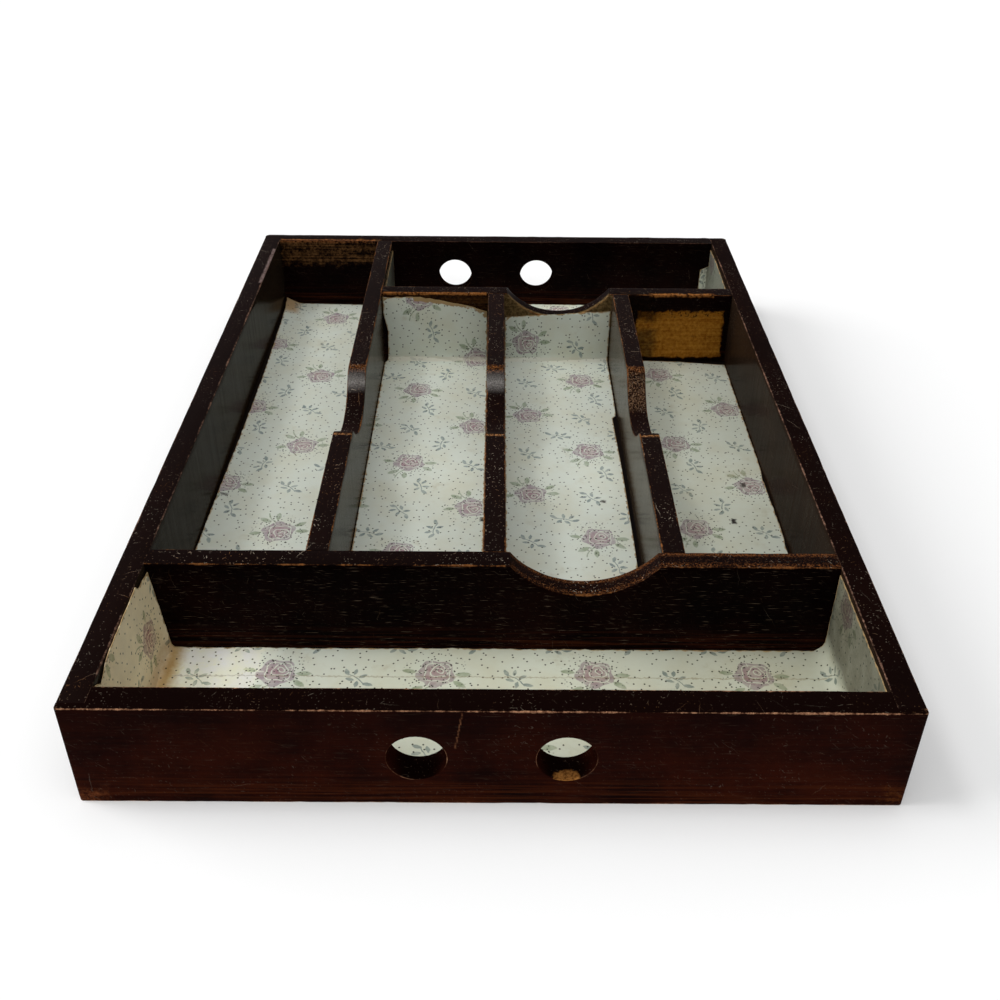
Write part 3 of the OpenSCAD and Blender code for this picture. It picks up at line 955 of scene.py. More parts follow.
def stained(tree, wood, stain):
    """The colour of stained wood, from dark to light, scuffed redder near the foot."""
    tone = add_node(tree, "Math", {0: wood.grain, 1: 0.35, 2: wood.cloud}, operation="MULTIPLY_ADD")
    deep = smooth_step(tree, tone, 0.45, 0.95)
    lower = add_node(tree, "MapRange", {"Value": wood.z, "From Max": RIM / MM, "To Min": 1.3, "To Max": 0.5})
    deep = add_node(tree, "Math", {0: deep, 1: lower}, operation="MULTIPLY", use_clamp=True)
    colour = add_node(tree, "Mix", {0: deep, 6: srgb(stain[0]), 7: srgb(stain[1])}, 2, data_type="RGBA")
    low_edge = smooth_step(tree, wood.z, SCUFF_FROM, SCUFF_FULL)
    streak = smooth_step(tree, wood.grain, 0.42, 0.72)
    scuff = add_node(tree, "Math", {0: low_edge, 1: streak}, operation="MULTIPLY")
    return add_node(tree, "Mix", {0: scuff, 6: colour, 7: srgb(SCUFF_RED)}, 2, data_type="RGBA")


def dusted_with_painted_sheen(tree, wood, colour, dust_and_sheen_colour):
    """Dust in clouds on the left and right faces inside the tray; its pale colour is partly a painted sheen.
    """
    dust = add_node(tree, "Math", {0: wood.sideways}, operation="ABSOLUTE")
    dust = smooth_step(tree, dust, 0.6, 0.9)
    inside = add_node(tree, "Math", {0: wood.x}, operation="ABSOLUTE")
    inside = add_node(tree, "Math", {0: inside, 1: INNER_REACH}, operation="LESS_THAN")
    dust = add_node(tree, "Math", {0: dust, 1: inside}, operation="MULTIPLY")
    settled = add_node(tree, "MapRange", {"Value": wood.cloud, "From Min": 0.3, "From Max": 0.7,
                                          "To Min": 0.6})
    dust = add_node(tree, "Math", {0: dust, 1: settled}, operation="MULTIPLY")
    return add_node(tree, "Mix", {0: dust, 6: colour, 7: srgb(dust_and_sheen_colour)}, 2, data_type="RGBA")


def grimed(tree, wood, colour, grimy, open_pores):
    """Grime on the upward faces, and pale dust in the open pores of the others."""
    grime = add_node(tree, "Math", {0: wood.top, 1: grimy}, operation="MULTIPLY")
    colour = add_node(tree, "Mix", {0: grime, 6: colour, 7: srgb(GRIME_BLACK)}, 2, data_type="RGBA")
    pores = stretched(tree, wood.at, wood.grain_axis, PORE_LONG, PORE_WIDE)
    pores = add_node(tree, "TexNoise", {"Vector": pores, "Scale": 1.0, "Detail": 2.0})
    pores = smooth_step(tree, pores, 0.62, 0.76)
    upright = add_node(tree, "MapRange", {"Value": wood.top, "To Min": open_pores, "To Max": 0.0})
    pores = add_node(tree, "Math", {0: pores, 1: upright}, operation="MULTIPLY")
    return add_node(tree, "Mix", {0: pores, 6: colour, 7: srgb(PORE_DUST)}, 2, data_type="RGBA")


print("pores in mm:", PORE_LONG, "by", PORE_WIDE)

# %% [markdown]
# Some marks have a place of their own on a board: a bare patch, a rubbed dip, a scratch. Each is a box in
# millimetres. The shake tears its outline, and its texture is part grain and part grit.

# %% Patches with a place of their own
TEAR_GAIN, COVER_SPAN, COVER_SOFT = 3, 0.4, 0.05


def patched(tree, wood, colour, patch):
    """Lays one patch over a colour.

    A patch is (low, high, soft, tear, streaks, cover, dark, light): a box in mm, the softness and the
    wander of its outline in mm, the share of grain in its texture, the share of it that is covered, and
    its colours. A patch without grain is finely flecked and lies on upward faces only."""
    low, high, soft, tear, streaks, cover, dark, light = patch
    torn = add_node(tree, "VectorMath", {0: wood.shake, 1: (TEAR_GAIN * tear,) * 3, 2: wood.at},
                    operation="MULTIPLY_ADD")
    mask = box_mask(tree, torn, low, high, soft)
    texture = add_node(tree, "Mix", {0: streaks, 2: wood.fine if streaks else wood.flecks, 3: wood.grain})
    limit = 0.5 + (0.5 - cover) * COVER_SPAN
    some = smooth_step(tree, texture, limit - COVER_SOFT, limit + COVER_SOFT)
    mask = add_node(tree, "Math", {0: mask, 1: some}, operation="MULTIPLY")
    if not streaks:
        lying = smooth_step(tree, wood.upward, 0.3, 0.6)
        mask = add_node(tree, "Math", {0: mask, 1: lying}, operation="MULTIPLY")
    shade = smooth_step(tree, texture, 0.38, 0.64)
    shade = add_node(tree, "Mix", {0: shade, 6: srgb(dark), 7: srgb(light)}, 2, data_type="RGBA")
    return add_node(tree, "Mix", {0: mask, 6: colour, 7: shade}, 2, data_type="RGBA")


print("a patch wanders by up to", TEAR_GAIN / 2, "times its tear")

# %% [markdown]
# Hands rub the varnish off the edges first: a thin line of bare wood, wider where the noise is high, found
# from the distance that was stored on every point. Knives leave nicks, specks and hair scratches, many on
# the upward faces and few on the others.

# %% Rubbed edges, nicks and scratches
MARK_SLANT, MARK_BEND, FEW_MARKS = 0.8, 3.0, 0.08
MARK_TAN, MARK_GREY = "#8a6242", "#b9ab99"
# Cell, length and width in mm, and the share of the cells that have a mark.
NICKS, SPECKS, HAIRS = (3.6, 3.2, 0.32, 0.45), (1.6, 0.8, 0.42, 0.45), (16.0, 15.0, 0.25, 0.35)


def rubbed_edges(tree, wood):
    """A mask along the eased edges, wider where the noise is high."""
    edge = add_node(tree, "Attribute", {}, "Fac", attribute_name="arris_mm")
    reach = add_node(tree, "Math", {0: wood.patchy, 1: -1.8, 2: edge}, operation="MULTIPLY_ADD")
    reach = add_node(tree, "Math", {0: wood.fine, 1: -1.0, 2: reach}, operation="MULTIPLY_ADD")
    return smooth_step(tree, reach, -0.85, -1.35)


def bare_wood(tree, wood, bare):
    """The colour of wood that has lost its varnish, from dark to light."""
    grit = smooth_step(tree, wood.fine, 0.32, 0.7)
    return add_node(tree, "Mix", {0: grit, 6: srgb(bare[0]), 7: srgb(bare[1])}, 2, data_type="RGBA")


def knife_marks(tree, wood, nicked):
    """Nicks, specks and hair scratches as one mask, as strong on top as nicked says."""
    u = add_node(tree, "Math", {0: wood.z, 1: MARK_SLANT, 2: wood.x}, operation="MULTIPLY_ADD")
    v = add_node(tree, "Math", {0: wood.z, 1: MARK_SLANT, 2: wood.y}, operation="MULTIPLY_ADD")
    flat = add_node(tree, "CombineXYZ", {0: u, 1: v})
    bent = add_node(tree, "VectorMath", {0: wood.shake, 1: (MARK_BEND, MARK_BEND, 0), 2: flat},
                    operation="MULTIPLY_ADD")
    nicks, specks, hairs = [nick_mask(tree, bent, *kind) for kind in (NICKS, SPECKS, HAIRS)]
    marks = add_node(tree, "Math", {0: nicks, 1: specks}, operation="MAXIMUM")
    crowded = smooth_step(tree, wood.cloud, 0.3, 0.62)
    marks = add_node(tree, "Math", {0: marks, 1: crowded}, operation="MULTIPLY")
    marks = add_node(tree, "Math", {0: marks, 1: hairs}, operation="MAXIMUM")
    often = add_node(tree, "MapRange", {"Value": wood.top, "To Min": FEW_MARKS, "To Max": nicked})
    return add_node(tree, "Math", {0: marks, 1: often}, operation="MULTIPLY")


def mark_colour(tree, wood):
    """Fresh wood in some marks, dry grey in others."""
    pale = smooth_step(tree, wood.patchy, 0.35, 0.6)
    return add_node(tree, "Mix", {0: pale, 6: srgb(MARK_TAN), 7: srgb(MARK_GREY)}, 2, data_type="RGBA")


print("longest scratch in mm:", max(kind[1] for kind in (NICKS, SPECKS, HAIRS)))

# %% [markdown]
# Fingers have worn the rims of the holes to bare wood, and a flake has broken out under the right one in
# front. The wear is measured from the axis of the hole, and no varnish is left inside.

# %% Worn and chipped finger holes
BORE = (HOLE_X / MM, 0.0, RIM / MM / 2)
BORE_R, LIP_SOFT = HOLE_R / MM, 0.2
BORE_REACH = (HOLE_R + HOLE_EASE) / MM + LIP_SOFT / 2
CHIP_AT, CHIP_REACH, CHIP_ROUGH = (29.0, -231.2, 13.4), (5.9, 5.0, 3.0), 0.9
CHIP_TAN = ("#4f2a10", "#ad763c")


def worn_holes(tree, wood, colour, rub):
    """The colour with worn rims round both holes and one chip, and a mask of all that is clear of them."""
    off = add_node(tree, "Math", {0: wood.x}, operation="ABSOLUTE")
    off = add_node(tree, "CombineXYZ", {0: off, 2: wood.z})
    off = add_node(tree, "VectorMath", {0: off, 1: BORE}, out="Value", operation="DISTANCE")
    clear = add_node(tree, "Math", {0: off, 1: BORE_REACH}, operation="GREATER_THAN")
    lip = smooth_step(tree, off, BORE_REACH, BORE_REACH - LIP_SOFT)
    bore = smooth_step(tree, off, BORE_R + 0.03, BORE_R + 0.15)
    ring = add_node(tree, "Math", {0: lip, 1: bore}, operation="MULTIPLY")
    chipped = smooth_step(tree, wood.patchy, 0.44, 0.75)
    ring = add_node(tree, "Math", {0: ring, 1: chipped}, operation="MULTIPLY")
    colour = add_node(tree, "Mix", {0: ring, 6: colour, 7: rub}, 2, data_type="RGBA")
    chip = add_node(tree, "VectorMath", {0: wood.at, 1: CHIP_AT}, operation="SUBTRACT")
    chip = add_node(tree, "VectorMath", {0: chip, 1: CHIP_REACH}, operation="DIVIDE")
    chip = add_node(tree, "VectorMath", {0: chip}, out="Value", operation="LENGTH")
    chip = add_node(tree, "Math", {0: wood.fine, 1: CHIP_ROUGH, 2: chip}, operation="MULTIPLY_ADD")
    chip = smooth_step(tree, chip, 1.5, 1.3)
    chip = add_node(tree, "Math", {0: chip, 1: lip}, operation="MULTIPLY")
    dark, light = [srgb(tan) for tan in CHIP_TAN]
    fresh = smooth_step(tree, wood.fine, 0.3, 0.65)
    fresh = add_node(tree, "Mix", {0: fresh, 6: dark, 7: light}, 2, data_type="RGBA")
    return add_node(tree, "Mix", {0: chip, 6: colour, 7: fresh}, 2, data_type="RGBA"), clear


print("axis and reach of a worn hole in mm:", [round(v, 2) for v in BORE], round(BORE_REACH, 2))

# %% [markdown]
# The layers come together here. Old varnish shines on the faces, in streaks as a cloth wiped it. It is
# dull on top, where things rub it, and gone in the holes. Grit and knife marks also press into the surface.

# %% Wood that is stained, varnished and rubbed
WIPE_LONG, WIPE_WIDE, WIPE_SPAN = 60.0, 3.0, 0.3
TOP_SHINE, TOP_ROUGH, VARNISH_IOR = 0.012, 0.6, 1.5
GRIT_HEIGHT, MARK_HEIGHT, DENT_DEPTH = 0.4, -0.8, 0.25 * MM


def varnished_wood(name, grain_axis, stain, bare, patches=(), nicked=0.5, open_pores=0.2, shine=0.03,
                   dust_and_sheen=None, grimy=0.7, bored=False):
    """Dark varnished wood with its grain along an axis.

    Stain and bare are the dark and light colours of varnished and of rubbed wood, and patches the marks
    with a place of their own. Nicked and open_pores tell how strongly those marks show, shine is the
    varnish's specular level, dust_and_sheen the colour of the dust on the bays' left and right faces, which
    is partly a painted sheen, grimy the share of grime on top, and bored is true for a board with finger
    holes."""
    made, tree = new_material(name)
    wood = wood_set(tree, grain_axis)
    colour = stained(tree, wood, stain)
    if dust_and_sheen:
        colour = dusted_with_painted_sheen(tree, wood, colour, dust_and_sheen)
    colour = grimed(tree, wood, colour, grimy, open_pores)
    for patch in patches:
        colour = patched(tree, wood, colour, patch)
    rubbed = rubbed_edges(tree, wood)
    rub = bare_wood(tree, wood, bare)
    colour = add_node(tree, "Mix", {0: rubbed, 6: colour, 7: rub}, 2, data_type="RGBA")
    marks = knife_marks(tree, wood, nicked)
    colour = add_node(tree, "Mix", {0: marks, 6: colour, 7: mark_colour(tree, wood)}, 2, data_type="RGBA")

    dull = add_node(tree, "Math", {0: wood.top, 1: rubbed}, operation="MAXIMUM")
    rough = add_node(tree, "MapRange", {"Value": wood.fine, "To Min": 0.08, "To Max": 0.26})
    rough = add_node(tree, "Mix", {0: dull, 2: rough, 3: TOP_ROUGH})
    wiped = stretched(tree, wood.at, 2, WIPE_LONG, WIPE_WIDE)
    wiped = add_node(tree, "TexNoise", {"Vector": wiped, "Scale": 1.0, "Detail": 4.0})
    least, most = (1 - WIPE_SPAN) * shine, (1 + WIPE_SPAN) * shine
    clean = add_node(tree, "MapRange", {"Value": wiped, "From Min": 0.3, "From Max": 0.7,
                                        "To Min": least, "To Max": most})
    gloss = add_node(tree, "Mix", {0: dull, 2: clean, 3: min(shine, TOP_SHINE)})
    if bored:
        colour, clear = worn_holes(tree, wood, colour, rub)
        gloss = add_node(tree, "Math", {0: clear, 1: gloss}, operation="MULTIPLY")
    height = add_node(tree, "Math", {0: wood.fine, 1: GRIT_HEIGHT}, operation="MULTIPLY")
    height = add_node(tree, "Math", {0: marks, 1: MARK_HEIGHT, 2: height}, operation="MULTIPLY_ADD")
    dents = add_node(tree, "Bump", {"Height": height, "Strength": 0.25, "Distance": DENT_DEPTH})
    surface = add_node(tree, "BsdfPrincipled", {"Base Color": colour, "Roughness": rough, "Normal": dents,
                                                "IOR": VARNISH_IOR, "Specular IOR Level": gloss})
    add_node(tree, "OutputMaterial", {"Surface": surface})
    return made


print("wiped streaks in mm:", WIPE_LONG, "by", WIPE_WIDE)

# %% [markdown]
# The boards don't match: the front is redder, the back nearly black, and the dividers are dusty and rubbed
# about their dips, with a painted sheen on their faces and a painted highlight in two dips. So each gets a
# finish of its own, with the marks that are seen on that board. The places are in millimetres in the tray's
# frame.

# %% Marks on each board
# Front: a scratch in short steps, and scuffed lower corners.
SCRATCH_FOOT, SCRATCH_STEP, SCRATCH_RISE, SCRATCH_STEPS = (-13.6, 30.5), 0.5, 3.1, 6
SCRATCH_HALF, SCRATCH_LAP = SCRATCH_STEP / 2, 0.2
FRONT_SCRATCH = []
for step in range(SCRATCH_STEPS):
    x = SCRATCH_FOOT[0] + step * SCRATCH_STEP
    z = SCRATCH_FOOT[1] + step * SCRATCH_RISE
    low, high = (x - SCRATCH_HALF, -233, z), (x + SCRATCH_HALF, -229, z + SCRATCH_RISE + SCRATCH_LAP)
    FRONT_SCRATCH.append((low, high, 0.3, 0.4, 0.1, 0.9, "#3a2014", "#6a4630"))
FOOT_LEFT = ((-164, -235, -5), (-150, -228, 6), 3.0, 4.0, 0.4, 0.75, "#2c1209", "#6b3a20")
FOOT_RIGHT = ((153, -235, -5), (166, -228, 9), 4.0, 5.0, 0.4, 0.6, "#2a1206", "#522a12")
# Back: residue at the end of the left bay, and a worn line above it.
BACK_RESIDUE = ((-149, 215, 34), (-83, 222.6, 52), 3.0, 7.0, 0.5, 0.62, "#1d1109", "#765230")
BACK_LINE = ((-149, 221, 48.6), (-84, 223.6, 52), 0.8, 1.2, 0.2, 0.6, "#43230f", "#8f5a33")
# Left side: a worn stretch of the rim.
RIM_WORN = ((-152, 150, 48.7), (-148.4, 206, 52), 0.7, 1.0, 0.0, 0.75, "#463430", "#877470")
# Front partition: fine wear all over the top, more along its two edges.
SCOOP_FUR = ((8, -144.2, 33), (150, -134.3, 52), 0.2, 0.3, 0.0, 0.22, "#1d0e08", "#472b1a")
SCOOP_EDGES = [((8, y - 1.0, 33), (150, y + 1.0, 52), 1.2, 0.5, 0.0, cover, "#2a1409", "#6a4022")
               for y, cover in ((-142.8, 0.4), (-135.4, 0.55))]
# Rear partition: bare wood in the fourth bay with dark flakes round it, a dry band over the third sheet,
# glue over the second, and two worn stretches of the top.
BARE_PATCH = ((91, 134, 5), (146, 138, 38.5), 0.8, 2.2, 0.4, 1.3, "#844f12", "#b57b2b")
PATCH_CORNER = ((80, 134, 33), (103, 138, 60), 4.0, 4.0, 0.3, 1.3, "#080403", "#1d1008")
PATCH_SMUDGE = ((78, 134, 1), (103, 138, 25), 4.0, 3.0, 0.2, 1.0, "#37260f", "#664b23")
PATCH_FLAKES = ((86, 134, 35), (148, 138, 41), 1.5, 3.0, 0.2, 0.4, "#0a0503", "#1c0f07")
PATCH_FOOT = ((86, 134, 2), (148, 138, 6.2), 0.8, 2.0, 0.3, 0.8, "#0a0503", "#1c0f07")
THIRD_BAND = ((5, 134, 26), (75, 138, 49.4), 0.6, 0.6, 0.3, 1.1, "#3d2f1a", "#735d3b")
GLUE_BAND = ((-73, 134, 37), (-3, 138, 48.5), 2.0, 2.5, 0.5, 0.8, "#160c06", "#4a2e14")
SECOND_WORN = ((-71, 134, 48.8), (-6, 136.8, 52), 0.5, 0.7, 0.2, 0.7, "#5d3414", "#a36a35")
FOURTH_WORN = ((98, 134, 48.8), (138, 137.5, 52), 0.9, 1.4, 0.2, 0.6, "#5d3414", "#a36a35")
# Dividers: the dips, rubbed behind, with a painted highlight in the hollow of two, dusty in the third, worn
# at the front edge.
DIP_REAR = ((-84, 33, 42), (86, 39, 52), 1.5, 1.0, 0.0, 0.4, "#33190b", "#7a4a22")
# A painted highlight: pale grey in the hollows of the left and middle dips.
DIP_PAINTED_HIGHLIGHT = ((-84, 26, 35), (7, 32, 47), 4.0, 0.8, 0.0, 1.4, "#5a5653", "#8b8783")
DIP_DUST = ((72, 14, 35), (86, 34, 52), 4.0, 1.0, 0.0, 0.36, "#3d2817", "#7d6046")
DIP_FRONT = ((-84, -37.2, 44), (86, -35.4, 52), 0.5, 0.3, 0.0, 0.5, "#4a2a14", "#9a6c44")
print("steps in the scratch:", len(FRONT_SCRATCH))

# %% [markdown]
# A finish for each board is then one call: the colours of its stain, of its bare wood and of its dust with
# its painted sheen, and how much of each kind of wear it has.

# %% The wood of each board
RED_BROWN, BROWN_BLACK = ("#130706", "#2f1008"), ("#0e0706", "#220e09")
NEARLY_BLACK = ("#070303", "#180806")
PINK_TAN, DULL_TAN = ("#4a2a1d", "#a87c5e"), ("#33201a", "#836454")
ORANGE_TAN, FAINT_TAN = ("#3d2010", "#80522c"), ("#1a0e0a", "#4a3328")
WOOD = "dark_varnished_wood_"
wood_front = varnished_wood(
    WOOD + "front", 0, RED_BROWN, PINK_TAN, [FOOT_LEFT, FOOT_RIGHT, *FRONT_SCRATCH],
    nicked=0.2, open_pores=0.07, shine=0.003, grimy=0.95, bored=True)
wood_back = varnished_wood(
    WOOD + "back", 0, NEARLY_BLACK, FAINT_TAN, [BACK_RESIDUE, BACK_LINE],
    nicked=0.35, open_pores=0.1, shine=0.01, bored=True)
wood_left = varnished_wood(
    WOOD + "left", 1, BROWN_BLACK, DULL_TAN, [RIM_WORN],
    nicked=0.35, open_pores=0.1, shine=0.011, dust_and_sheen="#261e15")
wood_right = varnished_wood(
    WOOD + "right", 1, BROWN_BLACK, DULL_TAN,
    nicked=0.35, open_pores=0.1, shine=0.004, dust_and_sheen="#241a12")
wood_partition = varnished_wood(
    WOOD + "front_partition", 0, NEARLY_BLACK, ORANGE_TAN, [SCOOP_FUR, *SCOOP_EDGES],
    nicked=0.65, open_pores=0.5, shine=0.01)
wood_rear = varnished_wood(
    WOOD + "rear_partition", 0, NEARLY_BLACK, ORANGE_TAN,
    [BARE_PATCH, PATCH_CORNER, PATCH_SMUDGE, PATCH_FLAKES, PATCH_FOOT, THIRD_BAND, GLUE_BAND, SECOND_WORN,
     FOURTH_WORN],
    nicked=0.5, open_pores=0.2, shine=0.01)
wood_divider = varnished_wood(
    WOOD + "dividers", 1, BROWN_BLACK, ORANGE_TAN, [DIP_REAR, DIP_PAINTED_HIGHLIGHT, DIP_DUST, DIP_FRONT],
    nicked=0.7, open_pores=0.15, shine=0.014, dust_and_sheen="#362d23")
print("wood finishes:", len([m for m in bpy.data.materials if m.name.startswith(WOOD)]))

# %% [markdown]
# ## The printed paper
# The sheets are a washable shelf paper with a small traditional print: dusty roses, grey-green sprigs
# and a scatter of dark dots on pale greenish cream. A motif is drawn once, as a node group that turns a
# place in millimetres into masks, and it is used again at several places and turns in a repeating tile.
# A leaf is the overlap of two discs, and a stem is a piece of a ring.

# %% Leaves and stems from discs
LEAF_SLIM, LEAF_SOFT, STEM_END = 0.46, 0.12, 0.3
LEAF_K = (1 - LEAF_SLIM ** 2) / (2 * LEAF_SLIM)
LEAF_R = sqrt(1 + LEAF_K ** 2)
SHEET_DEEP = 9


def new_motif(name, outputs):
    """A node group with a place in mm going in and masks coming out."""
    group = bpy.data.node_groups.new(name, "ShaderNodeTree")
    group.interface.new_socket("Place", in_out="INPUT", socket_type="NodeSocketVector")
    for label in outputs:
        group.interface.new_socket(label, in_out="OUTPUT", socket_type="NodeSocketFloat")
    return group, add_node(group, "NodeGroupInput")


def leaf_mask(tree, at, leaves):
    """Pointed leaves given as (x, y, angle in degrees, length), as one mask."""
    nearest = None
    for x, y, angle, length in leaves:
        turn = (0, 0, radians(angle))
        local = add_node(tree, "Mapping", {"Vector": at, "Location": (x, y, 0), "Rotation": turn,
                                           "Scale": (length / 2,) * 3}, vector_type="TEXTURE")
        local = add_node(tree, "VectorMath", {0: local}, operation="ABSOLUTE")
        local = add_node(tree, "VectorMath", {0: local, 1: (0, LEAF_K, 0)}, operation="ADD")
        far = add_node(tree, "VectorMath", {0: local}, out="Value", operation="LENGTH")
        if nearest is None:
            nearest = far
        else:
            nearest = add_node(tree, "Math", {0: nearest, 1: far}, operation="MINIMUM")
    return smooth_step(tree, nearest, LEAF_R, LEAF_R - LEAF_SOFT)


def stem_mask(tree, at, centre, radius, low, high, width):
    """A curved stem: the part of a ring that lies inside a box."""
    far = add_node(tree, "VectorMath", {0: at, 1: (*centre, 0)}, out="Value", operation="DISTANCE")
    off = add_node(tree, "Math", {0: far, 1: radius}, operation="SUBTRACT")
    off = add_node(tree, "Math", {0: off}, operation="ABSOLUTE")
    line = smooth_step(tree, off, width, width / 2)
    kept = box_mask(tree, at, (*low, -SHEET_DEEP), (*high, SHEET_DEEP), STEM_END)
    return add_node(tree, "Math", {0: line, 1: kept}, operation="MULTIPLY")


print("radius of a leaf's discs, for a leaf 2 long:", round(LEAF_R, 3))

# %% [markdown]
# A rose is a disc with a wavy edge. Thin wavy rings and a few splits between the outer petals are left
# bare in it, and leaves and a stem stand round it. A sprig is six leaves on an arched stem.

# %% The rose and the sprig
def wavy_reach(tree, at, centre, waves, depth, turn):
    """Distance from a centre, evened out by a wave round it, so that a constant draws a petal edge."""
    local = add_node(tree, "VectorMath", {0: at, 1: (*centre, 0)}, operation="SUBTRACT")
    far = add_node(tree, "VectorMath", {0: local}, out="Value", operation="LENGTH")
    parts = add_node(tree, "SeparateXYZ", {0: local}).node.outputs
    angle = add_node(tree, "Math", {0: parts[1], 1: parts[0]}, operation="ARCTAN2")
    wave = add_node(tree, "Math", {0: angle, 1: float(waves), 2: turn}, operation="MULTIPLY_ADD")
    wave = add_node(tree, "Math", {0: wave}, operation="COSINE")
    return add_node(tree, "Math", {0: wave, 1: -depth, 2: far}, operation="MULTIPLY_ADD"), angle, far


ROSE_R, ROSE_WAVES, ROSE_SOFT = 8.6, (5, 0.8, 0.5), 0.5
# Centre in mm, waves, their depth and turn, and the radius of each petal line.
PETAL_RINGS = [((0.5, 1.0), 4, 0.7, 2.0, 6.0), ((0.9, 1.8), 3, 0.5, 0.4, 3.6),
               ((1.2, 2.3), 2, 0.3, 1.0, 1.5)]
SPLIT_TURNS, SPLIT_START = 2.5, 0.9

rose, entry = new_motif("shelf_paper_rose", ("Petal", "Leaf", "Reach"))
reach, angle, far = wavy_reach(rose, entry, (0, 0), *ROSE_WAVES)
petal = smooth_step(rose, reach, ROSE_R, ROSE_R - ROSE_SOFT)
for centre, waves, depth, turn, radius in PETAL_RINGS:
    ring, _, _ = wavy_reach(rose, entry, centre, waves, depth, turn)
    off = add_node(rose, "Math", {0: ring, 1: radius}, operation="SUBTRACT")
    off = add_node(rose, "Math", {0: off}, operation="ABSOLUTE")
    fill = smooth_step(rose, off, 0.12, 0.42)
    petal = add_node(rose, "Math", {0: petal, 1: fill}, operation="MULTIPLY")
split = add_node(rose, "Math", {0: angle, 1: SPLIT_TURNS, 2: SPLIT_START}, operation="MULTIPLY_ADD")
split = add_node(rose, "Math", {0: split}, operation="SINE")
split = add_node(rose, "Math", {0: split}, operation="ABSOLUTE")
split = smooth_step(rose, split, 0.03, 0.12)
inner = smooth_step(rose, far, 6.2, 5.4)
split = add_node(rose, "Math", {0: split, 1: inner}, operation="MAXIMUM")
petal = add_node(rose, "Math", {0: petal, 1: split}, operation="MULTIPLY")
leaves = leaf_mask(rose, entry, [(11.6, 3.6, 20, 8.0), (12.2, -2.6, -16, 7.5), (-4.4, -12.0, 232, 8.0),
                                 (2.8, -13.0, 290, 7.0), (-11.6, -2.6, 190, 7.0)])
stem = stem_mask(rose, entry, (9.0, -14.5), 10.5, (-2.0, -17.5), (1.2, -8.0), 0.45)
leaves = add_node(rose, "Math", {0: leaves, 1: stem}, operation="MAXIMUM")
add_node(rose, "NodeGroupOutput", {0: petal, 1: leaves, 2: far})

sprig, entry = new_motif("shelf_paper_sprig", ("Leaf",))
leaves = leaf_mask(sprig, entry, [(-6.8, 1.2, 150, 5.8), (-3.6, 4.0, 120, 5.2), (-2.2, -1.6, 205, 5.2),
                                  (1.4, 4.0, 70, 5.2), (2.6, -2.0, 300, 5.2), (7.0, 1.6, 25, 6.0)])
stem = stem_mask(sprig, entry, (0.0, -14.0), 15.2, (-6.0, -3.0), (6.0, 4.0), 0.4)
leaves = add_node(sprig, "Math", {0: leaves, 1: stem}, operation="MAXIMUM")
add_node(sprig, "NodeGroupOutput", {0: leaves})
print("nodes in the rose and the sprig:", len(rose.nodes), len(sprig.nodes))

# %% [markdown]
# The print repeats in a tile. A Wrap brings every place into one tile round a motif's centre, so that a
# motif is whole where it crosses the tile's edge. The paper under it has faded unevenly, the ink has worn,
# and a fine shake blurs the outlines as a cheap press does.

# %% The print
TILE_W, TILE_L = 70.0, 84.0
ROSE_SIZE, SPRIG_SIZE = 1.0, 0.88
# Place in mm, turn in degrees, and -1 for a mirrored motif.
ROSES = [(15.0, 18.0, 20, 1), (51.0, 58.0, 200, -1)]
SPRIGS = [(50.0, 14.0, 40, 1), (14.0, 55.0, 130, -1), (33.0, 38.0, 280, 1), (68.0, 34.0, 345, -1),
          (22.0, 78.0, 75, 1)]
# Cell and radius in mm, and the share of the cells that have a dot.
LOOSE_DOTS, DENSE_DOTS = (4.6, 0.52, 0.85), (2.5, 0.42, 0.85)
PRINT_SHAKE = 0.9
FRESH_CREAM, FADED_CREAM = "#dce2d6", "#d5d6c3"
PETAL_MAUVE, HEART_MAUVE = "#9f9096", "#a18289"
LEAF_GREEN, SPRIG_GREY, DOT_BLACK = "#95a287", "#7e8d8a", "#3c392f"


def motif_at(tree, at, group, size, x, y, angle, flip):
    """One motif of the repeating tile, sized, turned and perhaps mirrored."""
    local = add_node(tree, "VectorMath", {0: at, 1: (x, y, 0)}, operation="SUBTRACT")
    half = (TILE_W / 2, TILE_L / 2, 1.0)
    local = add_node(tree, "VectorMath", {0: local, 1: half, 2: [-h for h in half]}, operation="WRAP")
    scale = (flip / size, 1 / size, 1)
    local = add_node(tree, "Mapping", {"Vector": local, "Rotation": (0, 0, radians(angle)), "Scale": scale})
    return add_node(tree, "Group", {0: local}, node_tree=group).node.outputs


def dot_mask(tree, at, cell, radius, share):
    """Round dots, one in some of the cells of a random pattern, as a mask."""
    spot = add_node(tree, "TexVoronoi", {"Vector": at, "Scale": 1 / cell}, voronoi_dimensions="2D").node
    dot = smooth_step(tree, spot.outputs["Distance"], radius / cell, radius / cell * 0.6)
    chance = add_node(tree, "SeparateColor", {0: spot.outputs["Color"]})
    kept = add_node(tree, "Math", {0: chance, 1: share}, operation="LESS_THAN")
    return add_node(tree, "Math", {0: dot, 1: kept}, operation="MULTIPLY")


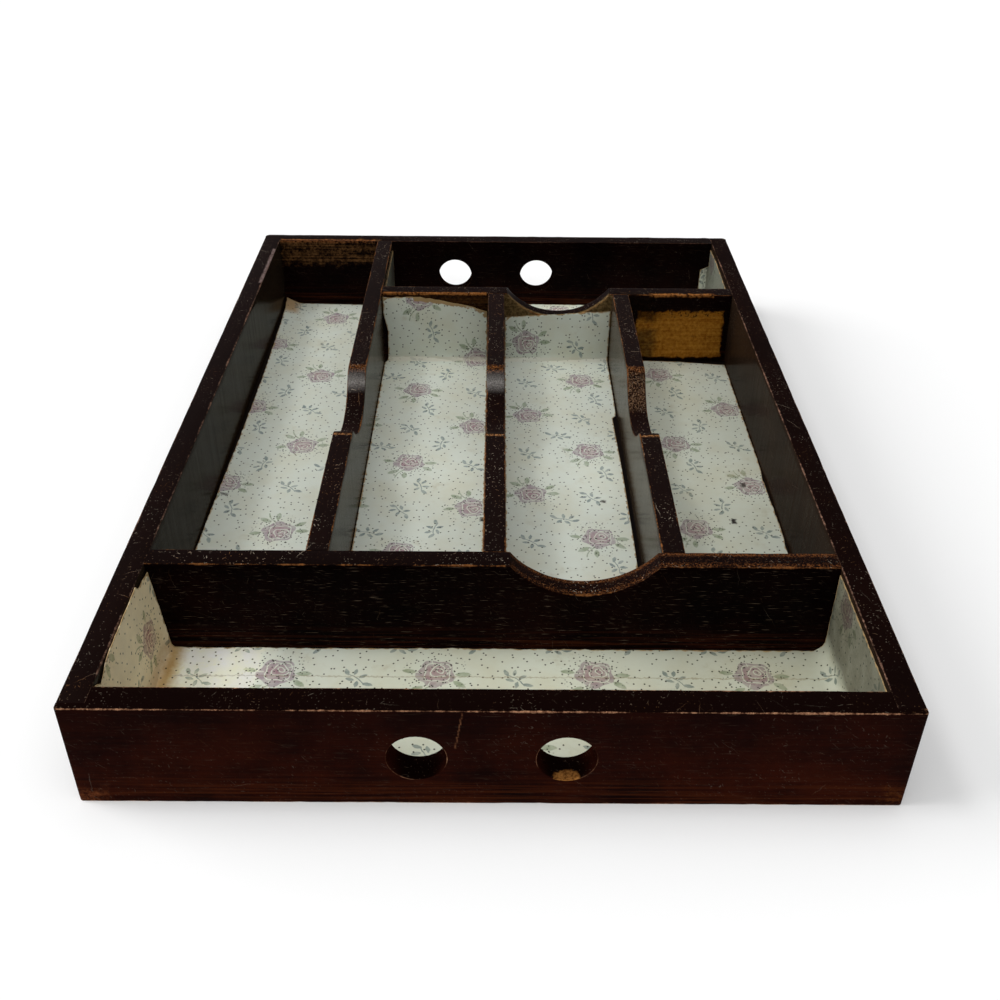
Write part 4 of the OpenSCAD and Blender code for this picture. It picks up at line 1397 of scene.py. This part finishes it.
def printed(tree, sheet):
    """Faded cream with roses and their leaves, then sprigs, then dots, which crowd round the roses."""
    shaky = add_node(tree, "VectorMath", {0: sheet.blur, 1: (PRINT_SHAKE, PRINT_SHAKE, 0), 2: sheet.at},
                     operation="MULTIPLY_ADD")
    petals, leaves, ring = motif_at(tree, shaky, rose, ROSE_SIZE, *ROSES[0])
    for spot in ROSES[1:]:
        masks = motif_at(tree, shaky, rose, ROSE_SIZE, *spot)
        petals = add_node(tree, "Math", {0: petals, 1: masks[0]}, operation="MAXIMUM")
        leaves = add_node(tree, "Math", {0: leaves, 1: masks[1]}, operation="MAXIMUM")
        ring = add_node(tree, "Math", {0: ring, 1: masks[2]}, operation="MINIMUM")
    twigs = motif_at(tree, shaky, sprig, SPRIG_SIZE, *SPRIGS[0])[0]
    for spot in SPRIGS[1:]:
        masks = motif_at(tree, shaky, sprig, SPRIG_SIZE, *spot)
        twigs = add_node(tree, "Math", {0: twigs, 1: masks[0]}, operation="MAXIMUM")

    fading = smooth_step(tree, sheet.mottle, 0.35, 0.75)
    fresh, faded = srgb(FRESH_CREAM), srgb(FADED_CREAM)
    colour = add_node(tree, "Mix", {0: fading, 6: fresh, 7: faded}, 2, data_type="RGBA")
    heart = smooth_step(tree, ring, 8.0, 3.0)
    outer, inner = srgb(PETAL_MAUVE), srgb(HEART_MAUVE)
    mauve = add_node(tree, "Mix", {0: heart, 6: outer, 7: inner}, 2, data_type="RGBA")
    ink = add_node(tree, "MapRange", {"Value": sheet.worn, "From Min": 0.3, "From Max": 0.7,
                                      "To Min": 0.5, "To Max": 1.0})
    for mask, tint in ((petals, mauve), (leaves, srgb(LEAF_GREEN)), (twigs, srgb(SPRIG_GREY))):
        mask = add_node(tree, "Math", {0: mask, 1: ink}, operation="MULTIPLY")
        colour = add_node(tree, "Mix", {0: mask, 6: colour, 7: tint}, 2, data_type="RGBA")

    loose, dense = [dot_mask(tree, sheet.at, *kind) for kind in (LOOSE_DOTS, DENSE_DOTS)]
    near = smooth_step(tree, ring, 16.5, 11.0)
    dense = add_node(tree, "Math", {0: dense, 1: near}, operation="MULTIPLY")
    dots = add_node(tree, "Math", {0: loose, 1: dense}, operation="MAXIMUM")
    return add_node(tree, "Mix", {0: dots, 6: colour, 7: srgb(DOT_BLACK)}, 2, data_type="RGBA")


print("motifs in a tile:", len(ROSES), "roses and", len(SPRIGS), "sprigs")

# %% [markdown]
# Age comes last: yellow blotches all over, stains with a place of their own, and a browned edge, found from
# the distance that was stored on every point. Boxes of painted light and painted shade go on with the
# stains.
# The surface is satin, with the faint waves of paper that was once damp.

# %% Paper that has aged
# Each noise has a name, a size in mm, a detail and a roughness.
PAPER_NOISES = [("mottle", 30.0, 5.0, 0.6), ("blotch", 22.0, 6.0, 0.7), ("worn", 3.5, 3.0, 0.5),
                ("fibre", 0.8, 3.0, 0.5)]
PAPER_SHAKES = [("cloudy", 9.0, 4.0, 0.5), ("blur", 1.6, 2.0, 0.5)]
BLOTCH_SHARE, STAIN_BLUR, STAIN_WANDER, TORN_WIDTH = 0.45, 2.4, 14.0, 2.2
BLOTCH_YELLOW, EDGE_BROWN = "#a8976a", "#a5895f"
SATIN_LEVEL, WAVE_HEIGHT, RELIEF_DEPTH = 0.25, 8.0, 0.08 * MM


def aged(tree, sheet, colour, stains_and_painted_light, torn):
    """Blotches, stains, painted light and shade, and a browned edge over the print."""
    blotched = smooth_step(tree, sheet.blotch, 0.56, 0.8)
    blotched = add_node(tree, "Math", {0: blotched, 1: BLOTCH_SHARE}, operation="MULTIPLY")
    colour = add_node(tree, "Mix", {0: blotched, 6: colour, 7: srgb(BLOTCH_YELLOW)}, 2, data_type="RGBA")
    place = add_node(tree, "VectorMath", {0: sheet.blur, 1: (STAIN_BLUR,) * 3, 2: place_in_mm(tree)},
                     operation="MULTIPLY_ADD")
    for low, high, soft, amount, blend, tint in stains_and_painted_light:
        wander = (min(soft, STAIN_WANDER),) * 3
        near = add_node(tree, "VectorMath", {0: sheet.cloudy, 1: wander, 2: place}, operation="MULTIPLY_ADD")
        mask = box_mask(tree, near, low, high, soft)
        mask = add_node(tree, "Math", {0: mask, 1: amount}, operation="MULTIPLY")
        colour = add_node(tree, "Mix", {0: mask, 6: colour, 7: srgb(tint)}, 2, data_type="RGBA",
                          blend_type=blend)
    edge = add_node(tree, "Attribute", {}, "Fac", attribute_name="edge_mm")
    edge = add_node(tree, "Math", {0: sheet.worn, 1: -3.0, 2: edge}, operation="MULTIPLY_ADD")
    if torn:
        bared = box_mask(tree, place, *torn, 1.0)
        edge = add_node(tree, "Math", {0: bared, 1: -TORN_WIDTH, 2: edge}, operation="MULTIPLY_ADD")
    browned = smooth_step(tree, edge, -0.7, -1.6)
    return add_node(tree, "Mix", {0: browned, 6: colour, 7: srgb(EDGE_BROWN)}, 2, data_type="RGBA")


def shelf_paper(name, shift, stains_and_painted_light=(), torn=None):
    """Printed shelf paper; shift is where in the print this sheet was cut, in mm.

    Each stain, and each box of painted light and of painted shade, is (low, high, soft, strength, blend,
    colour): a box in mm in the tray's frame, and how its colour is laid over the print. Torn is a box in
    which the edge shows a broad strip of bare core."""
    made, tree = new_material(name)
    at = add_node(tree, "VectorMath", {0: add_node(tree, "UVMap"), 1: (UV_UNIT / MM,) * 3, 2: (*shift, 0)},
                  operation="MULTIPLY_ADD")
    sheet = noise_set(tree, at, PAPER_NOISES, PAPER_SHAKES)
    colour = aged(tree, sheet, printed(tree, sheet), stains_and_painted_light, torn)
    rough = add_node(tree, "MapRange", {"Value": sheet.fibre, "To Min": 0.5, "To Max": 0.7})
    waves = add_node(tree, "Math", {0: sheet.mottle, 1: WAVE_HEIGHT, 2: sheet.fibre},
                     operation="MULTIPLY_ADD")
    relief = add_node(tree, "Bump", {"Height": waves, "Strength": 0.3, "Distance": RELIEF_DEPTH})
    surface = add_node(tree, "BsdfPrincipled", {"Base Color": colour, "Roughness": rough, "Normal": relief,
                                                "Specular IOR Level": SATIN_LEVEL})
    add_node(tree, "OutputMaterial", {"Surface": surface})
    return made


print("noises in the paper:", [label for label, *_ in PAPER_NOISES + PAPER_SHAKES])

# %% [markdown]
# Each sheet was cut from another part of the print and has aged in its own way: yellowed where it leans in
# the light, browned at a foot, pale along a fold, spotted and holed. Painted light brightens a few places,
# and painted shade darkens the sheets towards the right. The boxes are in millimetres in the tray's frame.

# %% Stains, painted light and painted shade on each sheet
# Front sheet: the left end is yellowed and brightened by painted light, the middle and right darkened by
# painted shade, the right upturn most.
LEFT_YELLOW = ((-160, -225, 0), (-110, -140, 60), 14.0, 1.0, "MULTIPLY", "#fff4de")
# Painted light: the left end of the sheet is brightened.
LEFT_PAINTED_LIGHT = ((-147, -240, -40), (-100, -120, 60), 10.0, 1.0, "DODGE", "#a8a8a9")
FLAP_WARM = ((-160, -225, 3), (-144, -140, 60), 3.0, 1.0, "MULTIPLY", "#fff2ea")
FOOT_BROWN = ((-146, -225, 0), (-139, -140, 8), 4.0, 0.9, "MULTIPLY", "#b8935c")
FLOOR_CREASE = ((-140, CREASE_Y / MM - 0.3, 0), (150, CREASE_Y / MM + 0.3, 6), 0.3, 0.5, "MIX", "#8f7f5e")
# Painted shade: the sheet darkens towards the right, most on the right upturn.
FRONT_PAINTED_SHADE = ((-70, -300, -60), (220, -60, 120), 40.0, 1.0, "MULTIPLY", "#efede4")
RIGHT_PAINTED_SHADE = ((80, -225, 0), (170, -140, 60), 70.0, 0.75, "MULTIPLY", "#aaa599")
RIGHT_UPTURN_PAINTED_SHADE = ((146, -225, 12), (160, -140, 60), 6.0, 1.0, "MULTIPLY", "#838079")
# Rear sheet: the left upturn is dark, the right upturn has painted shade, and painted light brightens the
# middle of its rear edge.
REAR_DARK = ((-74, 140, 5), (-68, 223, 60), 1.0, 1.0, "MULTIPLY", "#48463f")
# Painted shade on the upturn against the right wall.
REAR_WALL_PAINTED_SHADE = ((147, 140, 5), (153, 221, 60), 1.2, 1.0, "MULTIPLY", "#787771")
# Painted light on the middle of the rear edge.
REAR_PAINTED_LIGHT = ((4, 205, -20), (76, 240, 28), 9.0, 1.0, "DODGE", "#7a7a76")
# Long sheets: a tanned corner, spots and holes, a pale fold where two of them turn up, and painted shade
# over the fourth.
LEFT_CORNER = ((-153, 205, -2), (-140, 228, 40), 4.0, 0.9, "MULTIPLY", "#d2a880")
LEFT_SPOTS = [((-149.5, 10.5, 0), (-147.5, 13.5, 8), 0.8, 0.9, "MIX", "#1c150f"),
              ((-147.5, -25, 0), (-143.5, -23, 8), 0.8, 0.8, "MIX", "#2a241b")]
SECOND_CREASE = ((-72, 132.4, 3), (-5, 135.4, 5.6), 0.5, 0.7, "MIX", "#dcd8c6")
SECOND_NICK = ((-7.2, -47, 0), (-4, -43, 6), 0.7, 1.0, "MIX", "#120c08")
SECOND_TORN = ((-52, 134, 34), (-3, 137, 49))
THIRD_CREASE = ((5, 132.4, 3), (74, 135.4, 5.6), 0.5, 0.5, "MIX", "#dcd8c6")
THIRD_SPOT = ((57.8, -29, 0), (60.2, -27, 6), 0.7, 0.9, "MIX", "#2a241b")
# Painted shade: the fourth sheet is darker all over, towards the right.
FOURTH_PAINTED_SHADE = ((80, -150, -20), (160, 145, 30), 24.0, 0.7, "MULTIPLY", "#dad8d0")
FOURTH_HOLE = ((124.8, -47.4, 0), (127.3, -43, 6), 0.6, 1.0, "MIX", "#1c150f")
FOURTH_SPOT = ((135.8, -12.5, 0), (138.2, -9, 6), 0.8, 0.9, "MIX", "#2a241b")
papers = [shelf_paper("printed_shelf_paper_" + label, *choices) for label, *choices in (
    ("front", (40, 12), [LEFT_YELLOW, LEFT_PAINTED_LIGHT, FLAP_WARM, FOOT_BROWN, FLOOR_CREASE, FRONT_PAINTED_SHADE,
                         RIGHT_PAINTED_SHADE, RIGHT_UPTURN_PAINTED_SHADE]),
    ("rear", (40, 60), [REAR_DARK, REAR_WALL_PAINTED_SHADE, REAR_PAINTED_LIGHT]),
    ("left", (22, 31), [LEFT_CORNER, *LEFT_SPOTS]),
    ("second", (63, 8), [SECOND_CREASE, SECOND_NICK], SECOND_TORN),
    ("third", (31, 79), [THIRD_CREASE, THIRD_SPOT]),
    ("fourth", (50, 70), [FOURTH_PAINTED_SHADE, FOURTH_HOLE, FOURTH_SPOT]))]
print("paper finishes:", len(papers))

# %% [markdown]
# ## The hidden sides
# The base panel is a thin plain board: black with grime above, which also stands in for the shade in the
# narrow gaps where it shows beside the sheets, and bare, dry and brown below. The sheets have a kraft-brown
# back. The pins are cut from wire that has dulled and begun to rust.

# %% Base board, paper back and pin steel
BASE_GRAIN_LONG, BASE_GRAIN_WIDE, BASE_STAIN, BASE_DIRT = 90.0, 2.2, 55.0, 0.6
BASE_BROWN, BASE_BLACK, BASE_STAINED = ("#4a321f", "#86623f"), ("#070403", "#150d09"), "#33221a"
FIBRE_DEPTH = 0.3 * MM


def base_board(name):
    """A thin bare board with its grain along Y, black on the upper side as grime and painted shade."""
    made, tree = new_material(name)
    at = place_in_mm(tree)
    fibres = stretched(tree, at, 1, BASE_GRAIN_LONG, BASE_GRAIN_WIDE)
    grain = add_node(tree, "TexNoise", {"Vector": fibres, "Scale": 1.0, "Detail": 6.0, "Roughness": 0.65})
    stain = add_node(tree, "TexNoise", {"Vector": at, "Scale": 1 / BASE_STAIN, "Detail": 4.0})
    streak = smooth_step(tree, grain, 0.36, 0.66)
    brown, black = [add_node(tree, "Mix", {0: streak, 6: srgb(dark), 7: srgb(light)}, 2, data_type="RGBA")
                    for dark, light in (BASE_BROWN, BASE_BLACK)]
    dirty = smooth_step(tree, stain, 0.42, 0.7)
    dirty = add_node(tree, "Math", {0: dirty, 1: BASE_DIRT}, operation="MULTIPLY")
    colour = add_node(tree, "Mix", {0: dirty, 6: brown, 7: srgb(BASE_STAINED)}, 2, data_type="RGBA")
    upward = add_node(tree, "SeparateXYZ", {0: add_node(tree, "NewGeometry", out="Normal")}).node.outputs[2]
    # Black on the upper side: grime, and painted shade for the narrow gaps beside the sheets.
    grime = smooth_step(tree, upward, 0.2, 0.8)
    colour = add_node(tree, "Mix", {0: grime, 6: colour, 7: black}, 2, data_type="RGBA")
    furrows = add_node(tree, "Bump", {"Height": grain, "Strength": 0.4, "Distance": FIBRE_DEPTH})
    surface = add_node(tree, "BsdfPrincipled", {"Base Color": colour, "Roughness": 0.85, "Normal": furrows,
                                                "Specular IOR Level": 0.05})
    add_node(tree, "OutputMaterial", {"Surface": surface})
    return made


def speckled(name, size, stretch, colours, low, high, rough, metallic=0.0):
    """A plain stuff whose colour and roughness waver between two values at a size in mm."""
    made, tree = new_material(name)
    place = add_node(tree, "TexCoord", out="Object")
    at = add_node(tree, "VectorMath", {0: place, 1: [s / MM for s in stretch]}, operation="MULTIPLY")
    spots = add_node(tree, "TexNoise", {"Vector": at, "Scale": 1 / size, "Detail": 5.0, "Roughness": 0.65})
    mask = smooth_step(tree, spots, low, high)
    colour = add_node(tree, "Mix", {0: mask, 6: srgb(colours[0]), 7: srgb(colours[1])}, 2, data_type="RGBA")
    gloss = add_node(tree, "MapRange", {"Value": mask, "To Min": rough, "To Max": 0.9})
    metal = add_node(tree, "MapRange", {"Value": mask, "To Min": metallic, "To Max": 0.0})
    surface = add_node(tree, "BsdfPrincipled", {"Base Color": colour, "Roughness": gloss, "Metallic": metal})
    add_node(tree, "OutputMaterial", {"Surface": surface})
    return made


base_wood = base_board("bare_base_board")
paper_back = speckled("kraft_paper_back", 1.2, (1.0, 0.3, 1.0), ("#9b7a55", "#7c5d3e"), 0.4, 0.65, 0.8)
pin_steel = speckled("dull_rusty_steel", 0.9, (1.0, 1.0, 1.0), ("#8c8983", "#5a3420"), 0.5, 0.62, 0.45, 0.9)
print("hidden finishes:", base_wood.name, paper_back.name, pin_steel.name)

# %% [markdown]
# ## Put the pieces together
# Every dressed piece stands for one node and rides on the tray's one body. The base panel and the pins
# keep their own solids and only get finishes.

# %% Assign the finishes and hand the pieces over
boards = [(front_board, "front_board", wood_front), (back_board, "back_board", wood_back),
          (left_side, "left_side", wood_left), (right_side, "right_side", wood_right),
          (front_partition, "front_partition", wood_partition),
          (rear_partition, "rear_partition", wood_rear),
          (left_divider, "left_divider", wood_divider), (middle_divider, "middle_divider", wood_divider),
          (right_divider, "right_divider", wood_divider)]
for piece, node_name, finish in boards:
    piece.data.materials.append(finish)
    dress(piece, node_name)
sheets = [(front_sheet, "front_bay_liner"), (rear_sheet, "rear_bay_liner"), (left_sheet, "left_bay_liner"),
          (second_sheet, "second_bay_liner"), (third_sheet, "third_bay_liner"),
          (fourth_sheet, "fourth_bay_liner")]
for (piece, node_name), finish in zip(sheets, papers):
    piece.data.materials.append(finish)
    piece.data.materials.append(paper_back)
    dress(piece, node_name)
for node_name, finish in (("base_panel", base_wood), ("base_pins", pin_steel), ("corner_pins", pin_steel)):
    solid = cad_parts[node_name]
    solid.data.materials.clear()
    solid.data.materials.append(finish)
